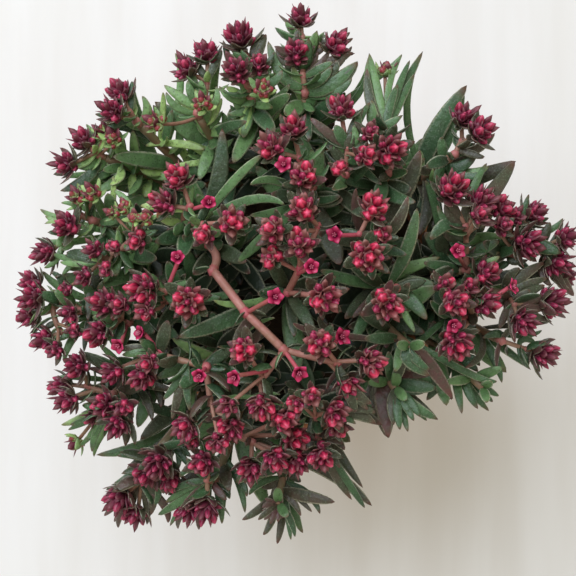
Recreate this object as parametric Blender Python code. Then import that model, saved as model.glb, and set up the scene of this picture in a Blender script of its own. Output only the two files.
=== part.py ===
"""A potted crassula in bloom: leafy stems and branched sprays of bud heads over a plain clay pot.

Units are metres and +Z is up. The origin is the centre of the pot's underside.
Each clump of leafy stems is one solid, and each spray of branches, bud heads and open flowers that
stands on a stem is another. A place on the plant is written as a pixel of the photograph, which looks
straight down, and a depth under the dome that the heads form.
"""

import itertools
import math
import random

import bmesh
import bpy
from mathutils import Matrix, Vector
from mathutils.bvhtree import BVHTree

MM = 0.001

# The clay pot and the soil in it
POT_HEIGHT = 105 * MM
POT_RIM_RADIUS = 60 * MM
POT_FOOT_RADIUS = 43 * MM
POT_WALL = 4.5 * MM
POT_FLOOR = 6 * MM
POT_SIDES = 28
RIM_BAND_HEIGHT = 22 * MM
RIM_BAND_STEP = 3 * MM
RIM_ROUNDING = 1.2 * MM
DRAIN_HOLES = 5
DRAIN_HOLE_RADIUS = 4 * MM
DRAIN_HOLE_SIDES = 8
DRAIN_RING_RADIUS = 24 * MM
SOIL_LEVEL = 95 * MM
SURFACE_DEPTH = 2 * MM
FIT_GAP = 0.3 * MM

# The photograph: 576 pixels square, taken from straight above
PICTURE_MIDDLE = 288
CROWN_MIDDLE = (296, 276)
CROWN_EDGE_PIXELS = 280
EYE_HEIGHT = 620 * MM
PIXEL_SIZE = 0.345 * MM
SIZED_HEIGHT = 165 * MM

# The dome that the bud heads form
CROWN_TOP = 184 * MM
CROWN_FALL = 50 * MM
HEAD_LEAN = math.radians(58)

# Stems, branches and leaves
STEM_SIDES = 5
STEM_ROOT_RADIUS = 2.1 * MM
STEM_MIDDLE_RADIUS = 1.8 * MM
STEM_TIP_RADIUS = 1.6 * MM
STEM_DEPTH = 20 * MM
STEM_SPREAD = 0.5
STEM_CURVE = 1.35
BRANCH_SIDES = 4
TWIG_RADIUS = 0.6 * MM
TWIG_THICKENING = 0.36 * MM
LONGEST_STRAIGHT_BRANCH = 9 * MM
COLLAR_LENGTH = 3.2 * MM
STALK_SPACING = 1.8 * MM
STALK_BEND = 2.5 * MM
# Places along a leaf's length after its root, and its breadth there as a share of its width
LEAF_OUTLINE = ((0.38, 0.95), (0.74, 0.85))
ROOT_WIDTH = 1.8 * MM
LEAF_THICKNESS = 1.5 * MM
LONGEST_LEAF = 54 * MM
SHARPEST_BEND = math.radians(65)
LOW_LEAF_SHARES = (0.62, 0.42)
TUFT_SPACING = 5 * MM
TUFT_LEAF_WIDTH = 3.8 * MM

# How a shape finds a place clear of the others: tip depths and moves are in millimetres
LEAF_DROPS = (10, 7, 13, 16, 19, 4, 22, 26, 30)
LEAF_RISES = (0, 3, 6, 9)
HEAD_LIFTS = (0, 1.5, -1.5, 3, -3, 5, -5, 7)
HEAD_SCALES = (1.0, 0.88, 0.75)
FLOWER_LIFTS = (1, 2.5, -1, 4, -3, 6, -5)
BRANCH_LIFTS = (0.6, -1, 2.5, -3)
BRANCH_SHIFTS = (0, 2, -2, 4, -4, 6, -6)
LEAF_WAYS = 90
WAYS_COMPARED = 14
LATER_WAY_COST = 0.4
OUTER_CROSSING = 200
MOST_CROSSINGS = 1000
FEW_CROSSINGS = 14

# Sides, tiers, core radius, reach of the buds beyond it and stalk radius, for each form of bud head
HEAD_FORMS = {
    "large": (5, 2, 4.2 * MM, 3.1 * MM, 1.1 * MM),
    "medium": (4, 2, 3.5 * MM, 2.8 * MM, 0.95 * MM),
    "small": (4, 1, 2.5 * MM, 2.3 * MM, 0.8 * MM),
    "single": (3, 1, 1.5 * MM, 1.9 * MM, 0.7 * MM),
}
# Height and radius of each ring of a head's core, as shares of the core radius
CORE_RINGS = {1: ((-0.6, 0.72), (0.55, 0.8)), 2: ((-0.75, 0.62), (0.0, 1.0), (0.7, 0.6))}
BRACT_REACH = 1.8
FLOWER_RADIUS = 3.2 * MM
FLOWER_STALK_RADIUS = 0.75 * MM

# Colours, as linear red, green and blue
CLAY_COLOUR = (0.48, 0.17, 0.08)
SOIL_COLOUR = (0.035, 0.022, 0.014)
LEAF_COLOUR = (0.045, 0.115, 0.05)
BUD_COLOUR = (0.45, 0.025, 0.075)


def shoot(clump, foot, joints=(), large=(), medium=(), small=(), single=(), flowers=()):
    """One shoot of the plant: where its spray stands on its stem, the spray's forks, and its heads.

    A foot or a joint is (x, y, depth in millimetres), and a head or a flower is (x, y).
    """
    forms = {"large": large, "medium": medium, "small": small, "single": single}
    heads = [(place, form) for form, places in forms.items() for place in places]
    return {"clump": clump, "foot": foot, "joints": joints, "heads": heads, "flowers": flowers}


SHOOTS = (
    # The long bare stem across the middle
    shoot(1, (211, 246, 27), ((213, 270, 19), (246, 313, 12), (284, 350, 9), (337, 363, 8), (260, 382, 9)),
          medium=((320, 343), (372, 362), (350, 386), (262, 406), (243, 350)), small=((228, 406),),
          flowers=((275, 297), (299, 372), (341, 337), (235, 377))),
    # The middle
    shoot(2, (288, 292, 25), ((300, 268, 12), (318, 226, 9)), large=((325, 297),),
          medium=((303, 208), (299, 243), (273, 229)), small=((271, 257),), flowers=((311, 267),)),
    shoot(3, (312, 190, 22), ((299, 158, 10),), medium=((303, 177), (270, 147), (293, 128)),
          flowers=((284, 165),)),
    shoot(3, (343, 178, 20), ((347, 148, 9),), medium=((342, 108),), small=((366, 156),),
          single=((340, 167),)),
    # The top
    shoot(4, (387, 176, 20), ((386, 130, 9),), large=((390, 150),), small=((370, 133), (386, 70))),
    shoot(5, (305, 98, 20), ((303, 75, 10), (302, 37, 7)), medium=((301, 17), (297, 52), (336, 44))),
    shoot(6, (252, 103, 20), ((247, 85, 9), (247, 56, 7)), large=((240, 36),), medium=((236, 70),),
          small=((259, 65), (263, 90))),
    shoot(7, (200, 118, 18), ((207, 82, 8),), medium=((185, 67), (206, 52)), small=((203, 103), (155, 122))),
    # The upper left
    shoot(8, (187, 226, 20), ((202, 224, 9), (190, 206, 8)), medium=((178, 177), (163, 203), (232, 221)),
          small=((204, 235),), flowers=((209, 203),)),
    shoot(9, (141, 126, 16), ((130, 112, 7),), medium=((120, 92), (111, 110))),
    shoot(9, (105, 158, 16), ((93, 150, 7),), medium=((82, 140), (65, 163)), small=((103, 131), (114, 138))),
    # The left
    shoot(10, (98, 222, 16), ((80, 215, 8), (63, 238, 7)), medium=((66, 225), (45, 253)),
          small=((77, 198), (93, 193))),
    shoot(11, (86, 310, 16), ((53, 300, 7), (61, 332, 7)),
          medium=((31, 283), (31, 298), (30, 316), (43, 340)), small=((55, 350), (69, 313)),
          single=((75, 331),)),
    shoot(12, (122, 252, 18), ((101, 262, 8), (137, 230, 8)), small=((83, 276), (94, 250), (137, 240)),
          single=((67, 288), (114, 247), (105, 270), (124, 206), (112, 213), (134, 217), (147, 217))),
    shoot(13, (132, 322, 18), ((115, 318, 8),), medium=((103, 303), (97, 333)), small=((121, 305),),
          flowers=((119, 345),)),
    shoot(14, (168, 300, 20), ((166, 291, 9),), large=((142, 289), (188, 301)), small=((146, 311),),
          flowers=((178, 258),)),
    # The lower left
    shoot(15, (209, 362, 24), ((206, 367, 12), (150, 352, 8), (212, 412, 9)),
          medium=((141, 377), (112, 372), (185, 428), (231, 428)),
          small=((149, 362), (191, 441), (218, 443)), flowers=((141, 333), (200, 375))),
    shoot(16, (116, 392, 16), ((88, 386, 7), (108, 413, 7)),
          medium=((76, 366), (62, 386), (66, 400), (105, 405), (117, 425)),
          small=((124, 407), (93, 417), (75, 443))),
    shoot(17, (160, 448, 16), ((158, 458, 9), (140, 482, 7)), large=((157, 464), (119, 500)),
          medium=((169, 480), (146, 474), (135, 515))),
    # The bottom
    shoot(18, (216, 478, 16), ((207, 480, 8),), large=((206, 510),), medium=((203, 463), (188, 512))),
    shoot(19, (232, 428, 22), ((252, 442, 10),),
          medium=((250, 470), (275, 460), (298, 462), (284, 421), (294, 438))),
    shoot(20, (318, 432, 18), ((316, 416, 8),), medium=((335, 413), (320, 457)),
          small=((337, 428), (298, 402), (312, 396))),
    shoot(20, (278, 505, 13)),
    # The right
    shoot(21, (374, 240, 20), ((360, 234, 8),), large=((368, 256),), medium=((374, 207),),
          small=((383, 235),), flowers=((335, 235),)),
    shoot(22, (393, 288, 18), ((391, 297, 8),), large=((387, 305),)),
    shoot(22, (410, 348, 8)),
    shoot(23, (450, 158, 16), ((462, 140, 8),), medium=((465, 117), (481, 131))),
    shoot(24, (462, 270, 22), ((465, 226, 9),), large=((452, 188), (482, 202)), medium=((502, 207),),
          small=((479, 216),), flowers=((457, 251),)),
    shoot(25, (508, 254, 18), ((515, 236, 9), (545, 250, 8)), large=((529, 244), (558, 262)),
          medium=((534, 213), (568, 237)), small=((516, 217), (502, 226), (567, 277))),
    shoot(26, (500, 293, 18), ((514, 304, 7),), large=((553, 303),), medium=((524, 322),)),
    shoot(26, (496, 338, 16), ((526, 349, 6),), large=((545, 355),)),
    shoot(27, (468, 315, 18), ((468, 300, 8),), large=((457, 343),),
          medium=((455, 303), (487, 304), (487, 273)), small=((469, 288), (445, 284)),
          flowers=((512, 287), (453, 325))),
    shoot(27, (484, 388, 8)),
    # The lower right, with leaves only
    shoot(28, (396, 388, 16)),
)

# The leaves that show plainly: pixels of the tip and of the base, and the width in pixels
SEEN_LEAVES = (
    (132, 81, 133, 115, 8), (107, 129, 128, 121, 8), (86, 124, 98, 140, 8), (120, 131, 120, 152, 10),
    (133, 130, 134, 152, 10), (143, 96, 152, 112, 8), (164, 85, 185, 98, 8), (175, 53, 190, 75, 8),
    (190, 68, 193, 95, 7), (222, 50, 208, 80, 9), (227, 87, 255, 98, 9), (243, 138, 252, 100, 12),
    (222, 128, 225, 195, 18), (290, 84, 275, 105, 9), (272, 55, 280, 95, 8), (312, 68, 315, 115, 10),
    (358, 61, 325, 90, 10), (338, 75, 318, 68, 8), (369, 53, 375, 88, 7), (402, 54, 393, 74, 7),
    (415, 73, 395, 112, 8), (368, 67, 366, 108, 7), (403, 115, 378, 130, 8), (467, 85, 425, 140, 20),
    (464, 92, 452, 148, 13), (485, 157, 460, 150, 8), (489, 166, 470, 180, 10), (516, 161, 470, 187, 18),
    (420, 150, 408, 200, 20), (416, 202, 388, 200, 14), (417, 208, 412, 250, 14), (424, 233, 447, 248, 20),
    (441, 257, 377, 278, 15), (356, 188, 351, 220, 10), (340, 265, 330, 237, 22), (382, 185, 352, 162, 11),
    (407, 255, 382, 248, 12), (505, 238, 468, 228, 12), (500, 241, 475, 250, 14), (500, 252, 468, 262, 10),
    (529, 195, 523, 216, 7), (549, 218, 532, 222, 8), (551, 224, 544, 242, 10), (563, 218, 556, 238, 8),
    (515, 203, 500, 215, 8), (549, 276, 505, 270, 14), (340, 192, 318, 188, 9), (341, 196, 320, 204, 9),
    (60, 191, 92, 182, 10), (63, 177, 86, 172, 8), (40, 209, 62, 226, 9), (41, 240, 60, 248, 8),
    (62, 275, 76, 258, 8), (43, 271, 56, 293, 9), (88, 322, 87, 276, 11), (57, 328, 48, 309, 10),
    (64, 363, 65, 335, 9), (78, 352, 115, 368, 14), (78, 400, 101, 388, 14), (83, 404, 98, 408, 7),
    (61, 425, 91, 420, 10), (94, 457, 93, 430, 8), (125, 446, 131, 424, 10), (96, 455, 170, 448, 14),
    (127, 468, 142, 460, 8), (114, 483, 132, 480, 7), (148, 524, 147, 490, 8), (168, 495, 190, 480, 14),
    (165, 503, 183, 496, 7), (159, 515, 177, 507, 9), (222, 524, 220, 500, 8), (227, 500, 214, 489, 8),
    (140, 440, 176, 405, 18), (161, 408, 160, 380, 10), (193, 412, 185, 378, 10), (186, 411, 207, 424, 12),
    (172, 338, 202, 357, 12), (165, 318, 157, 350, 15), (198, 331, 197, 303, 12), (213, 300, 240, 313, 8),
    (178, 337, 232, 322, 18), (233, 345, 243, 320, 12), (261, 325, 256, 352, 12), (213, 365, 236, 362, 8),
    (217, 347, 237, 350, 8), (231, 392, 213, 371, 12), (229, 491, 225, 468, 14), (245, 513, 243, 482, 8),
    (249, 495, 256, 480, 8), (242, 520, 262, 510, 9), (263, 535, 275, 524, 9), (277, 544, 284, 522, 9),
    (303, 533, 289, 512, 10), (335, 502, 298, 495, 14), (372, 506, 326, 460, 15), (363, 488, 326, 438, 11),
    (345, 450, 331, 431, 12), (321, 473, 304, 455, 10), (388, 438, 380, 388, 24), (382, 425, 350, 403, 15),
    (408, 432, 402, 408, 8), (438, 420, 408, 397, 11), (427, 421, 409, 401, 8), (430, 375, 401, 371, 14),
    (433, 388, 398, 383, 14), (452, 400, 433, 362, 14), (462, 414, 455, 377, 10), (489, 411, 464, 386, 10),
    (465, 368, 491, 356, 8), (502, 383, 495, 346, 10), (529, 368, 503, 346, 9), (415, 333, 402, 306, 9),
    (427, 320, 408, 291, 16), (353, 342, 365, 317, 13), (380, 345, 367, 326, 13), (410, 281, 393, 287, 8),
    (307, 323, 303, 304, 11), (293, 323, 305, 335, 8), (231, 265, 222, 245, 9), (262, 155, 237, 172, 10),
    (285, 205, 256, 184, 10), (238, 262, 259, 241, 12), (250, 215, 271, 217, 9), (110, 185, 126, 178, 10),
    (205, 150, 181, 141, 9), (140, 168, 152, 180, 9), (128, 195, 140, 186, 8), (497, 381, 484, 388, 8),
    (499, 396, 486, 390, 8), (493, 402, 482, 392, 8), (481, 373, 480, 386, 7), (403, 331, 409, 346, 8),
    (422, 346, 411, 348, 9), (422, 363, 411, 351, 8), (400, 356, 409, 350, 8), (345, 205, 325, 220, 12),
    (332, 190, 350, 180, 12), (250, 185, 268, 170, 9), (160, 240, 150, 262, 9), (172, 245, 185, 232, 8),
    (240, 290, 222, 300, 9), (320, 270, 343, 280, 12), (360, 285, 366, 276, 9), (430, 300, 445, 320, 11),
    (425, 180, 440, 205, 10),
)

grown = []
stems = []
solids = {}


def at(place, height):
    """The point at this height that shows at this pixel of the photograph."""
    size = PIXEL_SIZE * (EYE_HEIGHT - height) / (EYE_HEIGHT - SIZED_HEIGHT)
    x = (PICTURE_MIDDLE - CROWN_MIDDLE[0]) * PIXEL_SIZE + (place[0] - PICTURE_MIDDLE) * size
    y = (CROWN_MIDDLE[1] - PICTURE_MIDDLE) * PIXEL_SIZE + (PICTURE_MIDDLE - place[1]) * size
    return Vector((x, y, height))


def dome(place):
    """The height of the heads over a pixel."""
    reach = math.dist(place, CROWN_MIDDLE) / CROWN_EDGE_PIXELS
    return CROWN_TOP - CROWN_FALL * reach**2


def loft(rings, tip=None):
    """A closed skin over rings of points, with a flat cap at each end, or a tip in place of the last."""
    skin = bmesh.new()
    loops = [[skin.verts.new(point) for point in ring] for ring in rings]
    count = len(loops[0])
    steps = [(here, (here + 1) % count) for here in range(count)]
    for lower, upper in zip(loops, loops[1:]):
        for here, there in steps:
            skin.faces.new((lower[here], lower[there], upper[there], upper[here]))
    skin.faces.new(loops[0][::-1])
    if tip is None:
        skin.faces.new(loops[-1])
    else:
        apex = skin.verts.new(tip)
        for here, there in steps:
            skin.faces.new((loops[-1][here], loops[-1][there], apex))
    bmesh.ops.recalc_face_normals(skin, faces=skin.faces)
    return skin


def circle(centre, radius, sides, direction=Vector((0, 0, 1)), first=Vector((1, 0, 0))):
    """A ring of points round a centre, square to a direction. Its first point lies nearest to first."""
    along = direction.cross(first).normalized()
    across = along.cross(direction)
    turns = [math.tau * side / sides for side in range(sides)]
    return [centre + (across * math.cos(turn) + along * math.sin(turn)) * radius for turn in turns]


def tube(points, radius, sides):
    """A closed tube along points. Its rings all face one way, so that its sides are flat."""
    direction = (points[-1] - points[0]).normalized()
    return loft([circle(point, radius, sides, direction) for point in points])


def bezier(start, bend, end, along):
    """A point on a curve with one control point, and the curve's direction there."""
    point = start * (1 - along) ** 2 + bend * (2 * along * (1 - along)) + end * along**2
    direction = (bend - start) * (1 - along) + (end - bend) * along
    return point, direction.normalized()


def leaf(root, bend, tip, width, spare=0.0):
    """A fleshy lance-shaped blade, flat above and keeled below. Spare makes it larger all round."""
    outward = tip - root
    side = Vector((-outward.y, outward.x, 0)).normalized()
    rings = []
    for along, breadth in LEAF_OUTLINE:
        centre, forward = bezier(root, bend, tip, along)
        above = forward.cross(side)
        half = side * (width * breadth / 2 + spare)
        top = above * (LEAF_THICKNESS * 0.3 + spare)
        keel = above * (LEAF_THICKNESS * 0.7 + spare)
        rings.append((centre + half + top, centre - half + top, centre - keel))
        if len(rings) == 1:
            shrink = min(ROOT_WIDTH / (width * breadth), 1)
            rings.insert(0, [root + (point - centre) * shrink for point in rings[0]])
    return loft(rings, tip + (tip - bend).normalized() * spare)


def head_axis(centre, branch):
    """Which way a head faces: partly out from the crown, and partly on from its branch."""
    lean = HEAD_LEAN * centre.xy.length / (CROWN_EDGE_PIXELS * PIXEL_SIZE)
    out = Vector((centre.x, centre.y, 0)).normalized()
    dome_normal = out * math.sin(lean) + Vector((0, 0, math.cos(lean)))
    return (dome_normal * 0.8 + branch.normalized() * 0.5).normalized()


def stalked_head(form, fork, centre, offset, scale, spin, spare=0.0):
    """A head of pointed buds standing out of a small core, on a stalk from a fork of the branches.

    Some of the lower buds are long, as bracts. An offset other than zero bends the stalk aside.
    """
    sides, tiers, core, reach, stalk = HEAD_FORMS[form]
    core = core * scale + spare
    axis = head_axis(centre, centre - fork)
    first = Matrix.Rotation(spin, 3, axis) @ axis.orthogonal().normalized()
    neck = centre + axis * (core * CORE_RINGS[tiers][0][0])
    stations = (0, 0.55) if offset.length else (0,)
    rings = []
    for along in stations:
        point, _ = bezier(fork, (fork + neck) / 2 + offset, neck, along)
        rings.append(circle(point, stalk + spare, sides, axis, first))
    for height, radius in CORE_RINGS[tiers]:
        rings.append(circle(centre + axis * (core * height), core * radius, sides, axis, first))
    head = loft(rings)
    stalk_faces = sides * len(stations)
    bud_faces = head.faces[stalk_faces:]
    for number, face in enumerate(bud_faces):
        if number == len(bud_faces) - 2:
            continue
        middle = face.calc_center_median()
        is_bract = number < sides and number % 2 == 0 and tiers > 1
        outward = (face.normal + axis * (0.2 if is_bract else 0.5)).normalized()
        apex = bmesh.ops.poke(head, faces=[face])["verts"][0]
        apex.co = middle + outward * (reach * scale * (BRACT_REACH if is_bract else 1) + spare)
    return head


def open_flower(fork, centre, spin, spare=0.0):
    """An open flower on its stalk: five pointed petals in a shallow cup."""
    axis = head_axis(centre, centre - fork)
    first = Matrix.Rotation(spin, 3, axis) @ axis.orthogonal().normalized()
    stalk = FLOWER_STALK_RADIUS + spare
    flower = bmesh.new()
    root, neck, notches, petals = (
        [flower.verts.new(point) for point in ring] for ring in (
            circle(fork, stalk, 5, axis, first),
            circle(centre - axis * (1.4 * MM + spare), stalk, 5, axis, first),
            circle(centre + axis * (0.4 * MM), FLOWER_RADIUS * 0.5 + spare, 5, axis, first),
            circle(centre + axis * (1.1 * MM), -FLOWER_RADIUS - spare, 5, axis, first),
        ))
    middle = flower.verts.new(centre + axis * (0.5 * MM + spare))
    flower.faces.new(root)
    for here in range(5):
        there = (here + 1) % 5
        petal = petals[(here + 3) % 5]
        flower.faces.new((root[there], root[here], neck[here], neck[there]))
        flower.faces.new((neck[here], notches[here], petal))
        flower.faces.new((neck[there], neck[here], petal))
        flower.faces.new((notches[there], neck[there], petal))
        flower.faces.new((notches[here], middle, petal))
        flower.faces.new((middle, notches[there], petal))
    bmesh.ops.recalc_face_normals(flower, faces=flower.faces)
    return flower


def trees_of(shape, outer_start):
    """A shape's corners and search trees: of all of it, and of its outer part, from this vertex on."""
    shape.verts.index_update()
    points = [vert.co for vert in shape.verts]
    faces = [[vert.index for vert in face.verts] for face in shape.faces]
    outer_faces = [face for face in faces if min(face) >= outer_start]
    low = Vector(map(min, *points))
    high = Vector(map(max, *points))
    return low, high, BVHTree.FromPolygons(points, faces), BVHTree.FromPolygons(points, outer_faces)


def keep(node, shape, outer_start=0):
    """Adds a shape to its node's solid, and to what later shapes keep clear of."""
    grown.append((node, *trees_of(shape, outer_start)))
    solids.setdefault(node, []).append(shape)


def crossings(node, shape, outer_start):
    """How often a shape crosses its own node, or None where it crosses another node.

    A crossing between outer parts counts as many.
    """
    low, high, tree, outer_tree = trees_of(shape, outer_start)
    count = 0
    for other, other_low, other_high, other_tree, other_outer in grown:
        if any(low[axis] > other_high[axis] or high[axis] < other_low[axis] for axis in range(3)):
            continue
        if other != node:
            if tree.overlap(other_tree):
                return None
        else:
            count += len(tree.overlap(other_tree))
            if outer_tree.overlap(other_outer):
                count += OUTER_CROSSING
    return count


def best_way(node_of, make, ways, outer_start, most=MOST_CROSSINGS):
    """Grows a shape the best of these ways that keeps clear of other nodes, and returns that way.

    The best is the one that crosses its own node least, or an earlier one where they are near equal.
    A way that crosses it more often than most is left out.
    """
    choices = []
    for number, way in enumerate(ways):
        wide = make(*way, spare=FIT_GAP)
        count = crossings(node_of(way), wide, outer_start)
        wide.free()
        if count is not None and count < most:
            choices.append((count + number * LATER_WAY_COST, number))
        if len(choices) == WAYS_COMPARED:
            break
    if not choices:
        return None
    way = ways[min(choices)[1]]
    keep(node_of(way), make(*way), outer_start)
    return way


def stem_point(stem, share):
    """A point on a stem's axis, from the soil at share 0 to its top at share 1."""
    if share < 0.5:
        return stem["base"].lerp(stem["middle"], share * 2)
    return stem["middle"].lerp(stem["top"], share * 2 - 1)


def stem_share(stem, height, highest):
    """The share of the way up a stem at which a leaf rooted at this height grows."""
    share = (height - SOIL_LEVEL) / (stem["top"].z - SOIL_LEVEL)
    return min(max(share, 0.12), highest)


def grow_stems():
    """One stem for each shoot. The stems of a clump rise from one base in the soil."""
    bases = {}
    for shoot_here in SHOOTS:
        clump = shoot_here["clump"]
        x, y, depth = shoot_here["foot"]
        top = at((x, y), dome((x, y)) - depth * MM)
        is_first = clump not in bases
        if is_first:
            bases[clump] = Vector((top.x * STEM_SPREAD, top.y * STEM_SPREAD, SOIL_LEVEL))
        base = bases[clump]
        middle = base.lerp(top, 0.5**STEM_CURVE)
        middle.z = (base.z + top.z) / 2
        stem = {"node": f"leafy_stem_{clump:02d}", "base": base, "middle": middle, "top": top,
                "end": (top - middle).normalized(), "bare": not shoot_here["heads"]}
        way = (top - base).normalized()
        rings = [circle(stem_point(stem, 0.05), STEM_ROOT_RADIUS * 0.8, STEM_SIDES, way)]
        if is_first:
            rings = [circle(base + Vector((0, 0, height)), STEM_ROOT_RADIUS, STEM_SIDES)
                     for height in (-STEM_DEPTH, FIT_GAP)]
        rings.append(circle(middle, STEM_MIDDLE_RADIUS, STEM_SIDES, way))
        rings.append(circle(top, STEM_TIP_RADIUS, STEM_SIDES, way))
        keep(stem["node"], loft(rings))
        stems.append(stem)


def nearest(place, among):
    """The index of the place nearest to this one."""
    return min(range(len(among)), key=lambda index: math.dist(among[index][:2], place[:2]))


def grow_branches(number, shoot_here, stem):
    """The branches of one shoot, from the top of its stem to each fork."""
    node = f"flower_spray_{number:02d}"
    foot = stem["top"] + stem["end"] * FIT_GAP
    end = foot + stem["end"] * COLLAR_LENGTH
    keep(node, tube([foot, end], STEM_TIP_RADIUS, BRANCH_SIDES))
    places = [shoot_here["foot"]] + list(shoot_here["joints"])
    forks = [foot.lerp(end, 0.7)]
    forks += [at((x, y), dome((x, y)) - depth * MM) for x, y, depth in shoot_here["joints"]]
    tips = [place for place, _ in shoot_here["heads"]] + list(shoot_here["flowers"])
    parents = {index: nearest(places[index], places[:index]) for index in range(1, len(places))}
    carried = [0] * len(places)
    for place in tips:
        fork = nearest(place, places)
        while fork is not None:
            carried[fork] += 1
            fork = parents.get(fork)
    paths = [(foot, foot.lerp(end, 0.4), forks[0])]
    for index, parent in parents.items():
        radius = TWIG_RADIUS + TWIG_THICKENING * math.sqrt(carried[index])
        paths.append(grow_branch(node, forks[parent], forks[index], radius))
    return {"node": node, "places": places, "paths": paths, "used": [0] * len(places)}


def grow_branch(node, start, end, radius):
    """A branch that bends round what is in its way. Returns its curve."""
    run = end - start
    aside = Vector((-run.y, run.x, 0)).normalized()
    ways = [(aside * (side * MM) + Vector((0, 0, lift * MM)),)
            for lift in BRANCH_LIFTS for side in BRANCH_SHIFTS]

    def make(offset, spare=0.0):
        is_straight = run.length < LONGEST_STRAIGHT_BRANCH and offset.length < 1 * MM
        stations = (0, 1) if is_straight else (0, 0.5, 1)
        points = [bezier(start, (start + end) / 2 + offset, end, along)[0] for along in stations]
        return tube(points, radius + spare, BRANCH_SIDES)

    way = best_way(lambda way: node, make, ways, BRANCH_SIDES * 3)
    if way is None:
        way = ways[0]
        keep(node, make(*way))
    return start, (start + end) / 2 + way[0], end


def next_fork(spray, place):
    """Where on the nearest branch a stalk starts: near its end, each one a little further back."""
    index = nearest(place, spray["places"])
    start, bend, end = spray["paths"][index]
    back = spray["used"][index] * STALK_SPACING
    spray["used"][index] += 1
    along = max(1 - back / (end - start).length, 0.3)
    return bezier(start, bend, end, along)[0]


def grow_head(spray, form, place, chance):
    """A head of buds at its pixel, moved up or down or made smaller where another spray is in the way."""
    fork = next_fork(spray, place)
    spin = chance.uniform(0, math.tau)
    straight = Vector((0, 0, 0))
    run = at(place, dome(place)) - fork
    aside = Vector((-run.y, run.x, 0)).normalized() * STALK_BEND
    ways = [(lift * MM, offset, scale)
            for scale in HEAD_SCALES for offset in (straight, aside, -aside) for lift in HEAD_LIFTS]

    def make(lift, offset, scale, spare=0.0):
        return stalked_head(form, fork, at(place, dome(place) + lift), offset, scale, spin, spare)

    stalk_points = HEAD_FORMS[form][0] * 2
    best_way(lambda way: spray["node"], make, ways, stalk_points)


def grow_flower(spray, place, chance):
    """An open flower at its pixel."""
    fork = next_fork(spray, place)
    spin = chance.uniform(0, math.tau)

    def make(lift, spare=0.0):
        return open_flower(fork, at(place, dome(place) + lift), spin, spare)

    ways = [(lift * MM,) for lift in FLOWER_LIFTS]
    best_way(lambda way: spray["node"], make, ways, 10)


def seen_leaf_ways(seen):
    """Ways for a leaf of the photograph to reach its stem, the shortest and most usual first."""
    tip_x, tip_y, base_x, base_y, width = seen
    highest = 0.93 - 0.005 * ((tip_x + 3 * tip_y) % 20)
    ways = []
    for drop in LEAF_DROPS:
        tip = at((tip_x, tip_y), dome((tip_x, tip_y)) - drop * MM)
        least_rise = 2 * MM + 0.3 * (at((base_x, base_y), tip.z) - tip).length
        for stem, rise in itertools.product(stems, LEAF_RISES):
            root = stem_point(stem, stem_share(stem, tip.z - least_rise - rise * MM, highest))
            bend = at((base_x, base_y), root.z + 0.6 * (tip.z - root.z) + 1.5 * MM)
            length = (bend - root).length + (tip - bend).length
            is_kinked = (bend - root).angle(tip - bend, 0) > SHARPEST_BEND
            if length < LONGEST_LEAF and root.z < tip.z + 2 * MM and not is_kinked:
                cost = length + abs(drop - LEAF_DROPS[0]) * MM * 0.5
                ways.append((cost, len(ways), (stem["node"], root, bend, tip, width * PIXEL_SIZE)))
    return [way for _, _, way in sorted(ways)[:LEAF_WAYS]]


def stem_leaf_ways(stem, share, turn, length, lift, width):
    """Ways for a leaf that no pixel names to stand on its stem: as drawn, turned aside, or shorter."""
    root = stem_point(stem, share)
    ways = []
    for shorter in (1.0, 0.8, 0.62):
        for aside in (0, 20, -20, 40, -40):
            for tilt in (0, 14, -14):
                heading = turn + math.radians(aside)
                slope = lift + math.radians(tilt)
                out = Vector((math.cos(heading), math.sin(heading), 0))
                span = length * shorter
                tip = root + out * (math.cos(slope) * span) + Vector((0, 0, math.sin(slope) * span))
                bend = root + out * (0.42 * span * math.cos(slope))
                bend.z += span * (0.5 * math.sin(slope) + 0.14)
                ways.append((stem["node"], root, bend, tip, width * (0.4 + 0.6 * shorter)))
    return ways


def grow_leaf(ways, most):
    """A leaf, grown the best way that is clear. It is left out where none is."""
    def make(_, *shape, spare=0.0):
        return leaf(*shape, spare=spare)

    return best_way(lambda way: way[0], make, ways, 3, most)


def grow_leaves():
    """The leaves that the photograph shows, and then the tufts and the low leaves of each stem."""
    for seen in SEEN_LEAVES:
        grow_leaf(seen_leaf_ways(seen), MOST_CROSSINGS)
    for number, stem in enumerate(stems):
        chance = random.Random(100 + number)
        if stem["bare"]:
            grow_tuft(stem, chance)
        outward = math.atan2(stem["top"].y, stem["top"].x)
        for order, share in enumerate(LOW_LEAF_SHARES):
            turn = outward + (0.5 if (order + number) % 2 else -0.5) + chance.uniform(-0.3, 0.3)
            lift = math.radians(chance.uniform(18, 38))
            length = chance.uniform(26, 34) * MM
            width = chance.uniform(6, 8) * MM
            grow_leaf(stem_leaf_ways(stem, share, turn, length, lift, width), FEW_CROSSINGS)


def grow_tuft(stem, chance):
    """The crossed pairs of short leaves at the top of a stem that bears no spray."""
    first_turn = chance.uniform(0, math.pi)
    height = (stem["top"] - stem["base"]).length
    for pair in range(2):
        for side in (0, math.pi):
            turn = first_turn + pair * math.pi / 2 + side
            length = (9 + pair * 4) * MM
            lift = math.radians(55 - pair * 20)
            share = 0.99 - pair * TUFT_SPACING / height
            ways = stem_leaf_ways(stem, share, turn, length, lift, TUFT_LEAF_WIDTH)
            grow_leaf(ways, FEW_CROSSINGS)


def new_object(name, shape, collection):
    """A mesh object made of a shape, which is then freed."""
    mesh = bpy.data.meshes.new(name)
    shape.to_mesh(mesh)
    shape.free()
    obj = bpy.data.objects.new(name, mesh)
    collection.objects.link(obj)
    return obj


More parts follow.
